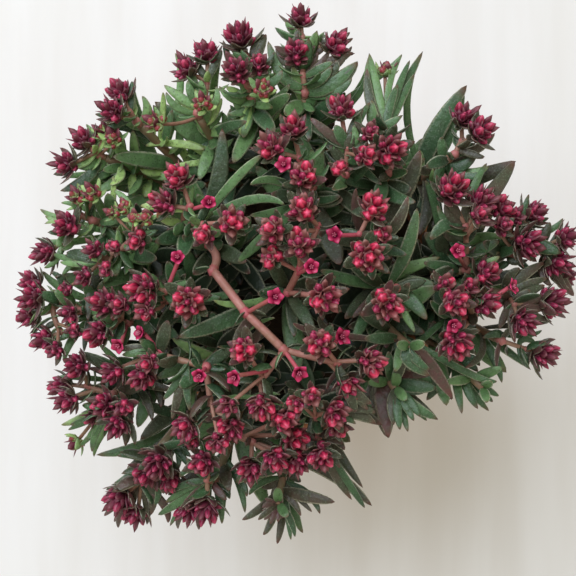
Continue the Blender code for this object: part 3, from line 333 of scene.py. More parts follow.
# Leaves of the sprays and of the stem tops, which the part leaves out: (tip x, tip y, root x, root y, width,
# tone). About a quarter of them end close to a leaf that is already listed, and thicken the foliage there.
SPRAY_LEAVES = (
    (423, 51, 386, 118, 12, "g"), (415, 73, 390, 120, 10, "g"), (369, 53, 378, 90, 9, "m"),
    (402, 55, 384, 80, 7, "m"), (367, 68, 366, 110, 11, "d"), (372, 100, 370, 130, 14, "m"),
    (402, 116, 376, 132, 11, "m"), (358, 62, 340, 92, 12, "d"), (420, 150, 412, 178, 12, "b"),
    (441, 137, 448, 165, 11, "m"), (222, 50, 212, 80, 9, "r"), (223, 40, 232, 75, 9, "d"),
    (266, 34, 258, 60, 9, "r"), (268, 41, 280, 90, 13, "g"), (290, 85, 272, 108, 9, "b"),
    (226, 87, 254, 100, 9, "b"), (240, 135, 259, 102, 12, "b"), (216, 86, 222, 110, 8, "m"),
    (200, 80, 208, 100, 8, "m"), (312, 66, 315, 110, 13, "g"), (333, 62, 312, 78, 9, "g"),
    (297, 118, 318, 106, 12, "g"), (310, 118, 330, 135, 10, "r"), (191, 68, 196, 95, 9, "g"),
    (128, 173, 138, 192, 8, "b"), (142, 155, 145, 185, 9, "m"), (150, 172, 146, 192, 8, "b"),
    (113, 176, 116, 200, 7, "b"), (78, 159, 103, 163, 9, "d"), (84, 170, 104, 172, 7, "m"),
    (79, 352, 112, 366, 10, "d"), (88, 368, 115, 372, 9, "r"), (98, 343, 120, 362, 8, "m"),
    (168, 320, 158, 352, 14, "d"), (190, 412, 183, 372, 9, "g"), (163, 408, 158, 380, 11, "d"),
    (152, 421, 152, 398, 8, "d"), (172, 420, 180, 388, 10, "d"), (192, 408, 215, 425, 9, "r"),
    (82, 405, 100, 412, 7, "m"), (70, 425, 90, 420, 9, "g"), (125, 446, 128, 420, 8, "d"),
    (135, 445, 134, 418, 9, "d"), (92, 452, 92, 432, 8, "m"), (127, 469, 145, 462, 8, "d"),
    (113, 484, 130, 486, 6, "m"), (151, 515, 158, 480, 13, "d"), (147, 525, 147, 500, 6, "d"),
    (165, 503, 185, 488, 8, "m"), (168, 493, 190, 480, 8, "g"), (158, 515, 180, 503, 10, "m"),
    (170, 526, 180, 505, 7, "m"), (222, 524, 222, 500, 8, "m"), (226, 500, 212, 482, 9, "r"),
    (210, 520, 206, 500, 6, "m"), (230, 492, 222, 470, 10, "d"), (186, 458, 198, 480, 8, "g"),
    (264, 520, 274, 506, 6, "r"), (270, 524, 275, 507, 6, "r"), (278, 522, 276, 506, 6, "r"),
    (284, 518, 276, 504, 6, "r"), (301, 516, 292, 495, 8, "d"), (262, 488, 275, 478, 9, "d"),
    (301, 482, 287, 472, 9, "d"), (272, 500, 278, 478, 11, "d"), (292, 502, 285, 480, 12, "d"),
    (515, 161, 490, 198, 16, "d"), (487, 163, 468, 190, 9, "m"), (485, 172, 460, 185, 10, "m"),
    (484, 158, 462, 152, 8, "d"), (495, 133, 475, 158, 10, "d"), (477, 155, 452, 178, 13, "g"),
    (529, 194, 522, 215, 7, "g"), (550, 222, 542, 240, 10, "d"), (563, 221, 558, 238, 6, "d"),
    (515, 203, 500, 215, 7, "r"), (424, 232, 442, 262, 18, "d"), (446, 222, 460, 245, 12, "g"),
    (492, 232, 475, 262, 14, "m"), (472, 190, 462, 215, 9, "d"), (545, 262, 515, 278, 12, "d"),
    (548, 278, 520, 285, 10, "d"), (500, 256, 478, 270, 10, "b"), (499, 328, 505, 305, 9, "r"),
    (515, 343, 508, 318, 8, "r"), (552, 322, 530, 315, 8, "d"), (540, 372, 525, 355, 7, "d"),
    (482, 338, 505, 328, 9, "g"), (552, 345, 530, 345, 8, "m"), (553, 351, 535, 352, 7, "r"),
    (61, 191, 92, 182, 12, "d"), (95, 114, 112, 118, 7, "d"), (106, 130, 130, 120, 9, "d"),
    (132, 81, 133, 112, 8, "d"), (142, 96, 153, 110, 8, "m"), (153, 105, 162, 115, 7, "d"),
    (164, 85, 185, 102, 10, "m"), (166, 92, 172, 112, 8, "g"), (120, 132, 120, 165, 11, "d"),
    (132, 130, 138, 155, 12, "d"), (145, 146, 172, 138, 9, "b"), (159, 156, 170, 172, 7, "g"),
    (168, 142, 195, 155, 10, "b"), (437, 205, 448, 235, 9, "m"), (440, 180, 450, 205, 9, "d"),
    (118, 350, 140, 345, 9, "d"), (105, 340, 125, 335, 8, "m"), (458, 165, 462, 190, 8, "m"),
    (96, 190, 120, 186, 12, "m"), (100, 180, 125, 178, 10, "d"), (140, 198, 165, 190, 11, "b"),
    (125, 192, 150, 185, 12, "g"), (150, 190, 172, 196, 9, "m"), (85, 178, 108, 180, 9, "g"),
    (78, 186, 100, 190, 8, "d"), (109, 178, 112, 192, 8, "b"), (168, 163, 198, 168, 10, "b"),
    (335, 125, 352, 150, 12, "g"), (352, 132, 345, 155, 12, "d"), (358, 140, 365, 165, 12, "g"),
    (345, 140, 328, 150, 11, "m"), (330, 145, 345, 165, 11, "d"), (447, 215, 440, 240, 11, "d"),
    (455, 210, 445, 235, 9, "m"), (103, 208, 120, 215, 9, "m"), (158, 216, 170, 225, 9, "b"),
    (220, 414, 230, 430, 9, "d"), (545, 285, 520, 295, 11, "d"), (560, 292, 540, 300, 9, "r"),
    (530, 290, 515, 300, 10, "d"), (572, 287, 560, 275, 7, "r"), (335, 60, 345, 75, 8, "d"),
    (318, 52, 312, 68, 8, "r"), (230, 105, 245, 125, 9, "g"), (222, 112, 232, 130, 9, "m"),
    (182, 455, 190, 440, 10, "d"), (190, 468, 180, 450, 8, "g"), (178, 470, 182, 445, 8, "m"),
    (170, 385, 158, 375, 9, "m"), (166, 395, 150, 385, 8, "d"), (65, 255, 80, 258, 8, "d"),
    (60, 262, 76, 266, 7, "m"), (50, 272, 66, 275, 7, "d"), (55, 278, 68, 270, 6, "r"),
    (510, 262, 495, 270, 11, "m"), (520, 268, 505, 275, 10, "d"), (394, 425, 388, 400, 10, "d"),
    (412, 414, 405, 395, 9, "m"), (340, 468, 330, 450, 8, "d"), (352, 500, 325, 465, 9, "d"),
    (357, 110, 362, 130, 9, "g"), (353, 125, 360, 145, 9, "m"), (86, 440, 95, 428, 7, "m"),
    (90, 445, 98, 432, 6, "g"), (470, 400, 465, 380, 8, "m"), (480, 366, 470, 350, 9, "g"),
    (112, 186, 150, 192, 14, "g"), (120, 200, 150, 198, 12, "m"), (135, 182, 160, 188, 12, "g"),
    (150, 178, 172, 184, 11, "b"), (128, 178, 150, 176, 10, "g"), (160, 200, 175, 190, 12, "m"),
    (140, 206, 165, 205, 10, "b"), (332, 66, 322, 85, 10, "g"), (282, 70, 276, 90, 10, "g"),
    (274, 52, 268, 70, 8, "d"), (398, 84, 386, 110, 10, "g"), (114, 522, 126, 508, 7, "d"),
    (126, 524, 130, 508, 7, "d"), (164, 494, 160, 478, 9, "d"), (60, 250, 78, 246, 7, "m"),
    (262, 508, 270, 500, 7, "r"), (258, 520, 268, 510, 7, "d"), (445, 203, 450, 225, 10, "d"),
    (440, 212, 450, 235, 9, "m"), (500, 306, 506, 290, 8, "d"), (505, 312, 510, 296, 7, "r"),
    (122, 355, 140, 352, 9, "m"), (126, 262, 140, 270, 8, "g"), (568, 292, 560, 280, 6, "r"),
    (418, 236, 436, 200, 14, "d"), (430, 240, 447, 215, 14, "g"), (436, 234, 430, 195, 13, "d"),
    (411, 214, 434, 204, 12, "m"), (364, 408, 372, 385, 12, "d"), (356, 412, 350, 395, 12, "d"),
    (222, 98, 212, 120, 10, "b"), (232, 96, 244, 118, 10, "m"), (66, 253, 84, 250, 9, "d"),
    (345, 92, 340, 108, 9, "m"), (363, 108, 352, 125, 9, "d"), (82, 166, 104, 168, 9, "m"),
    (424, 368, 404, 345, 9, "d"), (416, 352, 398, 340, 8, "g"), (368, 410, 350, 392, 9, "d"),
    (355, 412, 340, 398, 8, "d"), (356, 424, 338, 410, 8, "g"), (410, 60, 395, 92, 8, "g"),
    (330, 50, 318, 72, 8, "r"), (352, 78, 338, 100, 9, "g"), (52, 254, 74, 262, 8, "g"),
    (572, 292, 556, 288, 8, "r"), (352, 46, 342, 66, 7, "r"), (163, 400, 178, 384, 8, "g"),
    (68, 430, 88, 420, 7, "g"), (276, 46, 282, 68, 8, "r"), (219, 86, 232, 106, 8, "m"),
    (320, 514, 314, 490, 8, "g"), (114, 190, 132, 200, 8, "m"), (528, 260, 508, 266, 8, "d"),
    (154, 507, 166, 484, 8, "g"), (72, 163, 92, 174, 8, "g"), (365, 508, 350, 486, 8, "g"),
    (79, 447, 96, 432, 7, "m"), (265, 64, 274, 86, 8, "g"), (370, 102, 356, 122, 8, "g"),
    (247, 497, 245, 474, 8, "g"), (72, 231, 92, 238, 8, "g"), (55, 341, 76, 333, 7, "g"),
    (179, 478, 192, 458, 8, "g"), (196, 62, 207, 84, 8, "r"), (295, 537, 292, 514, 8, "g"),
    (430, 376, 396, 356, 14, "g"), (436, 388, 392, 384, 15, "g"), (453, 399, 424, 352, 15, "r"),
    (410, 372, 398, 330, 12, "g"), (376, 424, 346, 402, 14, "d"), (372, 404, 346, 392, 12, "d"),
    (249, 89, 232, 92, 9, "m"), (186, 140, 207, 157, 11, "b"), (170, 166, 212, 162, 8, "b"),
    (247, 162, 232, 175, 9, "b"), (210, 120, 230, 132, 10, "m"), (434, 214, 428, 246, 12, "d"),
    (408, 196, 400, 232, 12, "d"), (346, 52, 342, 70, 8, "r"), (127, 248, 142, 264, 8, "g"),
    (110, 404, 120, 384, 9, "g"), (265, 498, 273, 507, 6, "r"), (282, 497, 274, 507, 6, "r"),
    (262, 511, 273, 508, 6, "r"), (286, 510, 275, 508, 6, "r"), (269, 520, 273, 509, 6, "r"),
    (281, 519, 275, 509, 6, "r"), (357, 62, 328, 94, 16, "g"), (370, 54, 362, 106, 11, "m"),
    (243, 138, 254, 104, 12, "m"), (221, 130, 234, 206, 20, "g"), (353, 52, 318, 70, 13, "r"),
    (264, 34, 252, 60, 14, "r"), (299, 27, 292, 48, 9, "r"), (478, 409, 462, 385, 10, "g"),
    (574, 296, 560, 280, 12, "r"), (389, 438, 378, 385, 19, "r"), (438, 419, 400, 402, 13, "m"),
    (188, 80, 190, 100, 10, "g"), (177, 129, 184, 146, 10, "m"), (168, 523, 172, 504, 9, "r"),
    (528, 368, 515, 352, 9, "g"), (117, 456, 138, 452, 8, "g"), (430, 370, 412, 360, 9, "g"),
    (118, 528, 117, 508, 9, "r"), (478, 372, 468, 358, 9, "g"), (536, 344, 522, 332, 8, "g"),
    (178, 529, 174, 512, 8, "r"), (199, 530, 196, 512, 8, "r"), (408, 146, 404, 166, 9, "g"),
    (104, 516, 116, 504, 8, "r"), (376, 413, 346, 399, 13, "d"), (425, 392, 392, 376, 16, "g"),
    (400, 430, 396, 404, 10, "g"), (452, 398, 430, 356, 14, "d"), (145, 198, 152, 172, 11, "b"),
    (133, 196, 130, 170, 10, "b"), (324, 50, 308, 56, 9, "r"), (353, 38, 340, 48, 7, "r"),
    (420, 417, 410, 398, 9, "g"), (566, 318, 552, 308, 7, "r"), (77, 322, 92, 314, 8, "g"),
    (552, 286, 536, 276, 9, "r"), (45, 328, 62, 318, 7, "r"), (44, 268, 62, 262, 7, "m"),
    (395, 132, 392, 150, 8, "g"), (414, 421, 404, 402, 9, "g"), (45, 216, 62, 226, 7, "m"),
    (231, 50, 244, 62, 7, "r"), (191, 457, 180, 446, 8, "g"), (350, 32, 340, 44, 7, "r"),
)

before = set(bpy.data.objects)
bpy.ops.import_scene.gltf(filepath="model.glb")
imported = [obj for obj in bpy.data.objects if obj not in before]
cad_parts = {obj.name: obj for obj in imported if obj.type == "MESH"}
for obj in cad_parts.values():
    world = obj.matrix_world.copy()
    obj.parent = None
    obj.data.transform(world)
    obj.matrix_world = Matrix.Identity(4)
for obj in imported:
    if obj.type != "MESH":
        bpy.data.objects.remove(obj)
cad_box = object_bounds()
stems = []


def at(place, height):
    """The point at this height that shows at this pixel of the photograph."""
    size = PIXEL_SIZE * (EYE_HEIGHT - height) / (EYE_HEIGHT - SIZED_HEIGHT)
    x = (PICTURE_MIDDLE - CROWN_MIDDLE[0]) * PIXEL_SIZE + (place[0] - PICTURE_MIDDLE) * size
    y = (CROWN_MIDDLE[1] - PICTURE_MIDDLE) * PIXEL_SIZE + (PICTURE_MIDDLE - place[1]) * size
    return Vector((x, y, height))


def pixel_of(point):
    """The pixel of the photograph at which a point shows."""
    size = PIXEL_SIZE * (EYE_HEIGHT - point.z) / (EYE_HEIGHT - SIZED_HEIGHT)
    x = PICTURE_MIDDLE + (point.x - (PICTURE_MIDDLE - CROWN_MIDDLE[0]) * PIXEL_SIZE) / size
    y = PICTURE_MIDDLE - (point.y - (CROWN_MIDDLE[1] - PICTURE_MIDDLE) * PIXEL_SIZE) / size
    return x, y


def dome(place):
    """The height of the heads over a pixel."""
    reach = math.dist(place, CROWN_MIDDLE) / CROWN_EDGE_PIXELS
    return CROWN_TOP - CROWN_FALL * reach**2


def circle(centre, radius, sides, direction=Vector((0, 0, 1)), first=Vector((1, 0, 0))):
    """A ring of points round a centre, square to a direction. Its first point lies nearest to first."""
    along = direction.cross(first).normalized()
    across = along.cross(direction)
    turns = [math.tau * side / sides for side in range(sides)]
    return [centre + (across * math.cos(turn) + along * math.sin(turn)) * radius for turn in turns]


def bezier(start, bend, end, along):
    """A point on a curve with one control point, and the curve's direction there."""
    point = start * (1 - along) ** 2 + bend * (2 * along * (1 - along)) + end * along**2
    direction = (bend - start) * (1 - along) + (end - bend) * along
    return point, direction.normalized()


def head_axis(centre, branch):
    """Which way a head faces: partly out from the crown, and partly on from its branch."""
    lean = HEAD_LEAN * centre.xy.length / (CROWN_EDGE_PIXELS * PIXEL_SIZE)
    out = Vector((centre.x, centre.y, 0)).normalized()
    dome_normal = out * math.sin(lean) + Vector((0, 0, math.cos(lean)))
    return (dome_normal * 0.8 + branch.normalized() * 0.5).normalized()


def tree_of(node):
    """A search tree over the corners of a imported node."""
    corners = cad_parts[node].data.vertices
    tree = KDTree(len(corners))
    for number, corner in enumerate(corners):
        tree.insert(corner.co, number)
    tree.balance()
    return tree


TREES = {node: tree_of(node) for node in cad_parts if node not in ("pot", "soil")}


def misfit(node, points):
    """How far these points lie, on average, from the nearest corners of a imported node."""
    distances = [min(TREES[node].find(point)[2], 3 * CLOSE_MATCH) for point in points]
    return sum(distances) / len(distances)


def way_built(ways, node_of, corners_of):
    """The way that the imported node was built, or None where the shape was left out of it."""
    scores = []
    for number, way in enumerate(ways):
        points = corners_of(*way)
        scores.append((round(misfit(node_of(way), points) / MM, 3), -len(points), number))
    score, _, number = min(scores, default=(1, 0, 0))
    return ways[number] if score * MM < CLOSE_MATCH else None


def stem_point(stem, share):
    """A point on a stem's axis, from the soil at share 0 to its top at share 1."""
    if share < 0.5:
        return stem["base"].lerp(stem["middle"], share * 2)
    return stem["middle"].lerp(stem["top"], share * 2 - 1)


def stem_share(stem, height, highest):
    """The share of the way up a stem at which a leaf rooted at this height grows."""
    share = (height - SOIL_LEVEL) / (stem["top"].z - SOIL_LEVEL)
    return min(max(share, 0.12), highest)


def place_stems():
    """One stem for each shoot. The stems of a clump rise from one base in the soil."""
    bases = {}
    for shoot_here in SHOOTS:
        clump = shoot_here["clump"]
        x, y, depth = shoot_here["foot"]
        top = at((x, y), dome((x, y)) - depth * MM)
        base = bases.setdefault(clump, Vector((top.x * STEM_SPREAD, top.y * STEM_SPREAD, SOIL_LEVEL)))
        middle = base.lerp(top, 0.5**STEM_CURVE)
        middle.z = (base.z + top.z) / 2
        stems.append({"node": f"leafy_stem_{clump:02d}", "base": base, "middle": middle, "top": top,
                      "end": (top - middle).normalized(), "bare": not shoot_here["heads"]})


def nearest(place, among):
    """The index of the place nearest to this one."""
    return min(range(len(among)), key=lambda index: math.dist(among[index][:2], place[:2]))


def place_branches(number, shoot_here, stem):
    """The branches of one shoot, from the top of its stem to each fork, with a radius for each."""
    node = f"flower_spray_{number:02d}"
    foot = stem["top"] + stem["end"] * FIT_GAP
    end = foot + stem["end"] * COLLAR_LENGTH
    places = [shoot_here["foot"]] + list(shoot_here["joints"])
    forks = [foot.lerp(end, 0.7)]
    forks += [at((x, y), dome((x, y)) - depth * MM) for x, y, depth in shoot_here["joints"]]
    tips = [place for place, _ in shoot_here["heads"]] + list(shoot_here["flowers"])
    parents = {index: nearest(places[index], places[:index]) for index in range(1, len(places))}
    carried = [0] * len(places)
    for place in tips:
        fork = nearest(place, places)
        while fork is not None:
            carried[fork] += 1
            fork = parents.get(fork)
    paths = [(foot, foot.lerp(end, 0.4), forks[0])]
    radii = [STEM_TIP_RADIUS]
    for index, parent in parents.items():
        radii.append(TWIG_RADIUS + TWIG_THICKENING * math.sqrt(carried[index]))
        paths.append(branch_built(node, forks[parent], forks[index], radii[-1]))
    return {"node": node, "places": places, "paths": paths, "radii": radii, "used": [0] * len(places)}


def branch_built(node, start, end, radius):
    """The curve of a branch as the part has it."""
    aside = Vector((-(end - start).y, (end - start).x, 0)).normalized()
    direction = (end - start).normalized()
    ways = [(aside * (side * MM) + Vector((0, 0, lift * MM)),)
            for lift in BRANCH_LIFTS for side in BRANCH_SHIFTS]

    def corners(offset):
        """The ring of corners half way along the branch."""
        middle = bezier(start, (start + end) / 2 + offset, end, 0.5)[0]
        return circle(middle, radius, BRANCH_SIDES, direction)

    way = way_built(ways, lambda way: node, corners) or ways[0]
    return start, (start + end) / 2 + way[0], end


def next_fork(spray, place):
    """Where on the nearest branch a stalk starts: near its end, each one a little further back."""
    index = nearest(place, spray["places"])
    start, bend, end = spray["paths"][index]
    back = spray["used"][index] * STALK_SPACING
    spray["used"][index] += 1
    along = max(1 - back / (end - start).length, 0.3)
    return bezier(start, bend, end, along)[0]


def head_parts(form, fork, centre, scale, spin):
    """The core's rings of a head, and for each bud its root, its tip, and whether it is a long bract."""
    sides, tiers, core, reach, _ = HEAD_FORMS[form]
    core = core * scale
    axis = head_axis(centre, centre - fork)
    first = Matrix.Rotation(spin, 3, axis) @ axis.orthogonal().normalized()
    rings = [circle(centre + axis * (core * height), core * radius, sides, axis, first)
             for height, radius in CORE_RINGS[tiers]]
    buds = []
    for lower, upper in zip(rings, rings[1:]):
        for here in range(sides):
            there = (here + 1) % sides
            middle = (lower[here] + lower[there] + upper[here] + upper[there]) / 4
            normal = (upper[there] - lower[here]).cross(upper[here] - lower[there]).normalized()
            normal *= 1 if normal.dot(middle - centre) > 0 else -1
            is_bract = len(buds) < sides and len(buds) % 2 == 0 and tiers > 1
            outward = (normal + axis * (0.2 if is_bract else 0.5)).normalized()
            tip = middle + outward * (reach * scale * (BRACT_REACH if is_bract else 1))
            buds.append((middle, tip, is_bract))
    middle = centre + axis * (core * CORE_RINGS[tiers][-1][0])
    buds.append((middle, middle + axis * (reach * scale), False))
    return rings, buds


def place_head(spray, form, place, chance):
    """A head as the part has it, or None where it was left out there."""
    fork = next_fork(spray, place)
    spin = chance.uniform(0, math.tau)
    straight = Vector((0, 0, 0))
    run = at(place, dome(place)) - fork
    aside = Vector((-run.y, run.x, 0)).normalized() * STALK_BEND
    sides, tiers, core, _, stalk = HEAD_FORMS[form]
    ways = [(lift * MM, offset, scale)
            for scale in HEAD_SCALES for offset in (straight, aside, -aside) for lift in HEAD_LIFTS]

    def corners(lift, offset, scale):
        """The tips of the head's buds, and the ring of a stalk that bends aside."""
        centre = at(place, dome(place) + lift)
        points = [tip for _, tip, _ in head_parts(form, fork, centre, scale, spin)[1]]
        if offset.length:
            axis = head_axis(centre, centre - fork)
            neck = centre + axis * (core * scale * CORE_RINGS[tiers][0][0])
            first = Matrix.Rotation(spin, 3, axis) @ axis.orthogonal().normalized()
            ring_middle = bezier(fork, (fork + neck) / 2 + offset, neck, 0.55)[0]
            points += circle(ring_middle, stalk, sides, axis, first)
        return points

    way = way_built(ways, lambda way: spray["node"], corners)
    if way is None:
        return None
    lift, offset, scale = way
    centre = at(place, dome(place) + lift)
    rings, buds = head_parts(form, fork, centre, scale, spin)
    axis = head_axis(centre, centre - fork)
    neck = centre + axis * (core * scale * CORE_RINGS[tiers][0][0])
    return {"place": place, "form": form, "centre": centre, "axis": axis, "scale": scale,
            "stalk": (fork, (fork + neck) / 2 + offset, neck), "rings": rings, "buds": buds}


def place_flower(spray, place, chance):
    """An open flower as the part has it, or None where it was left out there."""
    fork = next_fork(spray, place)
    spin = chance.uniform(0, math.tau)

    def petal_tips(lift):
        """The tips of the five petals."""
        centre = at(place, dome(place) + lift)
        axis = head_axis(centre, centre - fork)
        first = Matrix.Rotation(spin, 3, axis) @ axis.orthogonal().normalized()
        return circle(centre + axis * (1.1 * MM), -FLOWER_RADIUS, 5, axis, first)

    ways = [(lift * MM,) for lift in FLOWER_LIFTS]
    way = way_built(ways, lambda way: spray["node"], petal_tips)
    if way is None:
        return None
    centre = at(place, dome(place) + way[0])
    axis = head_axis(centre, centre - fork)
    return {"fork": fork, "centre": centre, "axis": axis, "tips": petal_tips(*way)}


def leaf_corners(node, root, bend, tip, width):
    """The corners that the part's own leaf has past its root."""
    outward = tip - root
    side = Vector((-outward.y, outward.x, 0)).normalized()
    points = [tip]
    for along, breadth in LEAF_OUTLINE:
        centre, forward = bezier(root, bend, tip, along)
        above = forward.cross(side)
        half = side * (width * breadth / 2)
        top = above * (LEAF_THICKNESS * 0.3)
        points += [centre + half + top, centre - half + top, centre - above * (LEAF_THICKNESS * 0.7)]
    return points


def seen_leaf_ways(tip_x, tip_y, base_x, base_y, width):
    """Ways for a leaf of the photograph to reach its stem, the shortest and most usual first."""
    highest = 0.93 - 0.005 * ((tip_x + 3 * tip_y) % 20)
    ways = []
    for drop in LEAF_DROPS:
        tip = at((tip_x, tip_y), dome((tip_x, tip_y)) - drop * MM)
        least_rise = 2 * MM + 0.3 * (at((base_x, base_y), tip.z) - tip).length
        for stem, rise in itertools.product(stems, LEAF_RISES):
            root = stem_point(stem, stem_share(stem, tip.z - least_rise - rise * MM, highest))
            bend = at((base_x, base_y), root.z + 0.6 * (tip.z - root.z) + 1.5 * MM)
            length = (bend - root).length + (tip - bend).length
            is_kinked = (bend - root).angle(tip - bend, 0) > SHARPEST_BEND
            if length < LONGEST_LEAF and root.z < tip.z + 2 * MM and not is_kinked:
                cost = length + abs(drop - LEAF_DROPS[0]) * MM * 0.5
                ways.append((cost, len(ways), (stem["node"], root, bend, tip, width * PIXEL_SIZE)))
    return [way for _, _, way in sorted(ways)[:LEAF_WAYS]]


def stem_leaf(stem, share, turn, length, lift, width):
    """A leaf that stands on a stem at this share of its height, heading and slope."""
    root = stem_point(stem, share)
    out = Vector((math.cos(turn), math.sin(turn), 0))
    tip = root + out * (math.cos(lift) * length) + Vector((0, 0, math.sin(lift) * length))
    bend = root + out * (0.42 * length * math.cos(lift))
    bend.z += length * (0.5 * math.sin(lift) + 0.14)
    return stem["node"], root, bend, tip, width


def stem_leaf_ways(stem, share, turn, length, lift, width):
    """The ways that the part's source tries for a leaf that no pixel names."""
    return [stem_leaf(stem, share, turn + math.radians(aside), length * shorter,
                      lift + math.radians(tilt), width * (0.4 + 0.6 * shorter))
            for shorter in (1.0, 0.8, 0.62) for aside in (0, 20, -20, 40, -40) for tilt in (0, 14, -14)]


def place_leaves():
    """The listed leaves of the stems, and the stems' low leaves and tufts: (way, tone).

    A way is (node, root, bend, tip, width).
    """
    found = []
    for *numbers, tone in SEEN_LEAVES:
        way = way_built(seen_leaf_ways(*numbers), lambda way: way[0], leaf_corners)
        if way:
            found.append((way, tone_at(tone, *numbers[:2])))
    for *numbers, tone in SMALL_LEAVES:
        ways = seen_leaf_ways(*numbers)
        if ways:
            found.append((ways[0], tone_at(tone, *numbers[:2])))
    for number, stem in enumerate(stems):
        chance = random.Random(100 + number)
        drawn = tuft_leaves(stem, chance) if stem["bare"] else []
        outward = math.atan2(stem["top"].y, stem["top"].x)
        for order, share in enumerate(LOW_LEAF_SHARES):
            turn = outward + (0.5 if (order + number) % 2 else -0.5) + chance.uniform(-0.3, 0.3)
            lift = math.radians(chance.uniform(18, 38))
            length = chance.uniform(26, 34) * MM
            drawn.append((share, turn, length, lift, chance.uniform(6, 8) * MM))
        for numbers in drawn:
            way = way_built(stem_leaf_ways(stem, *numbers), lambda way: way[0], leaf_corners)
            if way:
                found.append((way, TONES["m"]))
    return found


def tuft_leaves(stem, chance):
    """The crossed pairs of short leaves at the top of a stem that bears no spray."""
    first_turn = chance.uniform(0, math.pi)
    height = (stem["top"] - stem["base"]).length
    return [(0.99 - pair * TUFT_SPACING / height, first_turn + pair * math.pi / 2 + side,
             (9 + pair * 4) * MM, math.radians(55 - pair * 20), TUFT_LEAF_WIDTH)
            for pair in range(2) for side in (0, math.pi)]


def is_clear_of_gaps(way, depth):
    """Whether a leaf leaves the floor in sight where the photograph shows it, and stays under the dome."""
    _, root, bend, tip, width = way
    for step in range(1, 9):
        place = pixel_of(bezier(root, bend, tip, step / 8)[0])
        spare = width / PIXEL_SIZE / 2
        if any(math.dist(place, gap[:2]) < gap[2] + spare for gap in FLOOR_GAPS):
            return False
    return tip.z < dome(place) - depth


def is_among_heads(tip):
    """Whether a leaf's tip shows near a head of the photograph, and no farther out than that head."""
    place = pixel_of(tip)
    near = min((head for shoot_here in SHOOTS for head, _ in shoot_here["heads"]),
               key=lambda head: math.dist(place, head))
    farther = math.dist(place, CROWN_MIDDLE) - math.dist(near, CROWN_MIDDLE)
    return math.dist(place, near) < HEAD_COVER and farther < 5


def painted_light(x, y):
    """How much painted light (above 0) or painted shade (below 0) leaves get at a pixel: lighter at the upper
    left, where the light comes from.
    """
    return min(max((PAINTED_LIGHT_EVEN_DIAGONAL - x - y) / PAINTED_LIGHT_REACH, DEEPEST_PAINTED_SHADE), 1)


def tone_at(tone, x, y):
    """The tone of a leaf from its letter and the pixel of its tip, darkened there by painted shade or
    lightened by painted light.
    """
    light = painted_light(x, y)
    return TONES[tone] * (1 + PAINTED_LIGHT_SHIFT * min(light, 0)) + PAINTED_LIGHT_LIFT * max(light, 0)


def leaf_tone(tip, chance):
    """The tone of a leaf that no table names: yellow-green with painted light at the upper left, darker with
    painted shade at the lower right.
    """
    tone = MIDDLE_TONE + PAINTED_LIGHT_SHIFT * painted_light(*pixel_of(tip)) + chance.uniform(-TONE_SPREAD, TONE_SPREAD)
    return min(max(tone, 0), 1)


def wood_of(sprays):
    """Places along the upper stems and the branches from which a leaf can grow: (node, place)."""
    wood = [(stem["node"], stem_point(stem, 0.4 + 0.06 * step)) for stem in stems for step in range(11)]
    for spray in sprays:
        for path in spray["paths"]:
            wood += [(spray["node"], bezier(*path, step / 6)[0]) for step in range(7)]
    return wood


def spray_leaf(wood, tip_x, tip_y, root_x, root_y, width):
    """A leaf that grows from the wood that shows nearest to its root, the highest for choice."""
    def farness(spot):
        """How far a spot shows from the leaf's root, less for a higher one."""
        return math.dist(pixel_of(spot[1]), (root_x, root_y)) - 0.15 * spot[1].z / MM
    node, root = min(wood, key=farness)
    reach = (at((tip_x, tip_y), root.z) - root).length
    tip = at((tip_x, tip_y), min(dome((tip_x, tip_y)) - 2 * MM, root.z + 0.4 * reach))
    bend = (root + tip) / 2 + Vector((0, 0, 0.14 * reach))
    if math.dist(pixel_of(root), (root_x, root_y)) > FAR_ROOT:
        bend = at((root_x, root_y), bend.z)
    return node, root, bend, tip, width * PIXEL_SIZE


def place_spray_leaves(sprays):
    """The leaves that the photograph shows on sprays and stem tops: (way, tone)."""
    wood = wood_of(sprays)
    return [(spray_leaf(wood, *numbers), tone_at(tone, *numbers[:2])) for *numbers, tone in SPRAY_LEAVES]


def place_inner_leaves():
    """The pairs of leaves that cross down each stem and fill the plant's inside, darkened with painted shade,
    and darkest deep under the dome.
    """
    found = []
    for number, stem in enumerate(stems):
        chance = random.Random(500 + number)
        tone_chance = random.Random(700 + number)
        height = (stem["top"] - stem["base"]).length
        pairs = int(height * 0.82 / PAIR_SPACING)
        first_turn = chance.uniform(0, math.pi)
        for pair in range(pairs):
            share = 0.96 - pair * PAIR_SPACING / height
            for side in (0, math.pi):
                turn = first_turn + pair * math.pi / 2 + side + chance.uniform(-0.35, 0.35)
                lift = math.radians(chance.uniform(18, 34) + 26 * share)
                length = chance.uniform(*INNER_LEAF_LENGTH) * MM * (1 - 0.25 * share)
                width = chance.uniform(*INNER_LEAF_WIDTH) * MM
                way = stem_leaf(stem, share, turn, length, lift, width)
                is_inside = math.dist(pixel_of(way[3]), CROWN_MIDDLE) < INNER_LEAF_REACH
                if (is_inside or is_among_heads(way[3])) and is_clear_of_gaps(way, 7 * MM):
                    # Painted shade: inner leaves are a little darker, and most of those deep under the dome
                    # take the darkest tone
                    depth = dome(pixel_of(way[3])) - way[3].z
                    is_painted_shade = depth > PAINTED_SHADE_DEPTH and tone_chance.random() < PAINTED_SHADE_SHARE
                    tone = max(leaf_tone(way[3], chance) - 0.1, 0.25)
                    found.append((way, PAINTED_SHADE_TONE if is_painted_shade else tone))
    return found


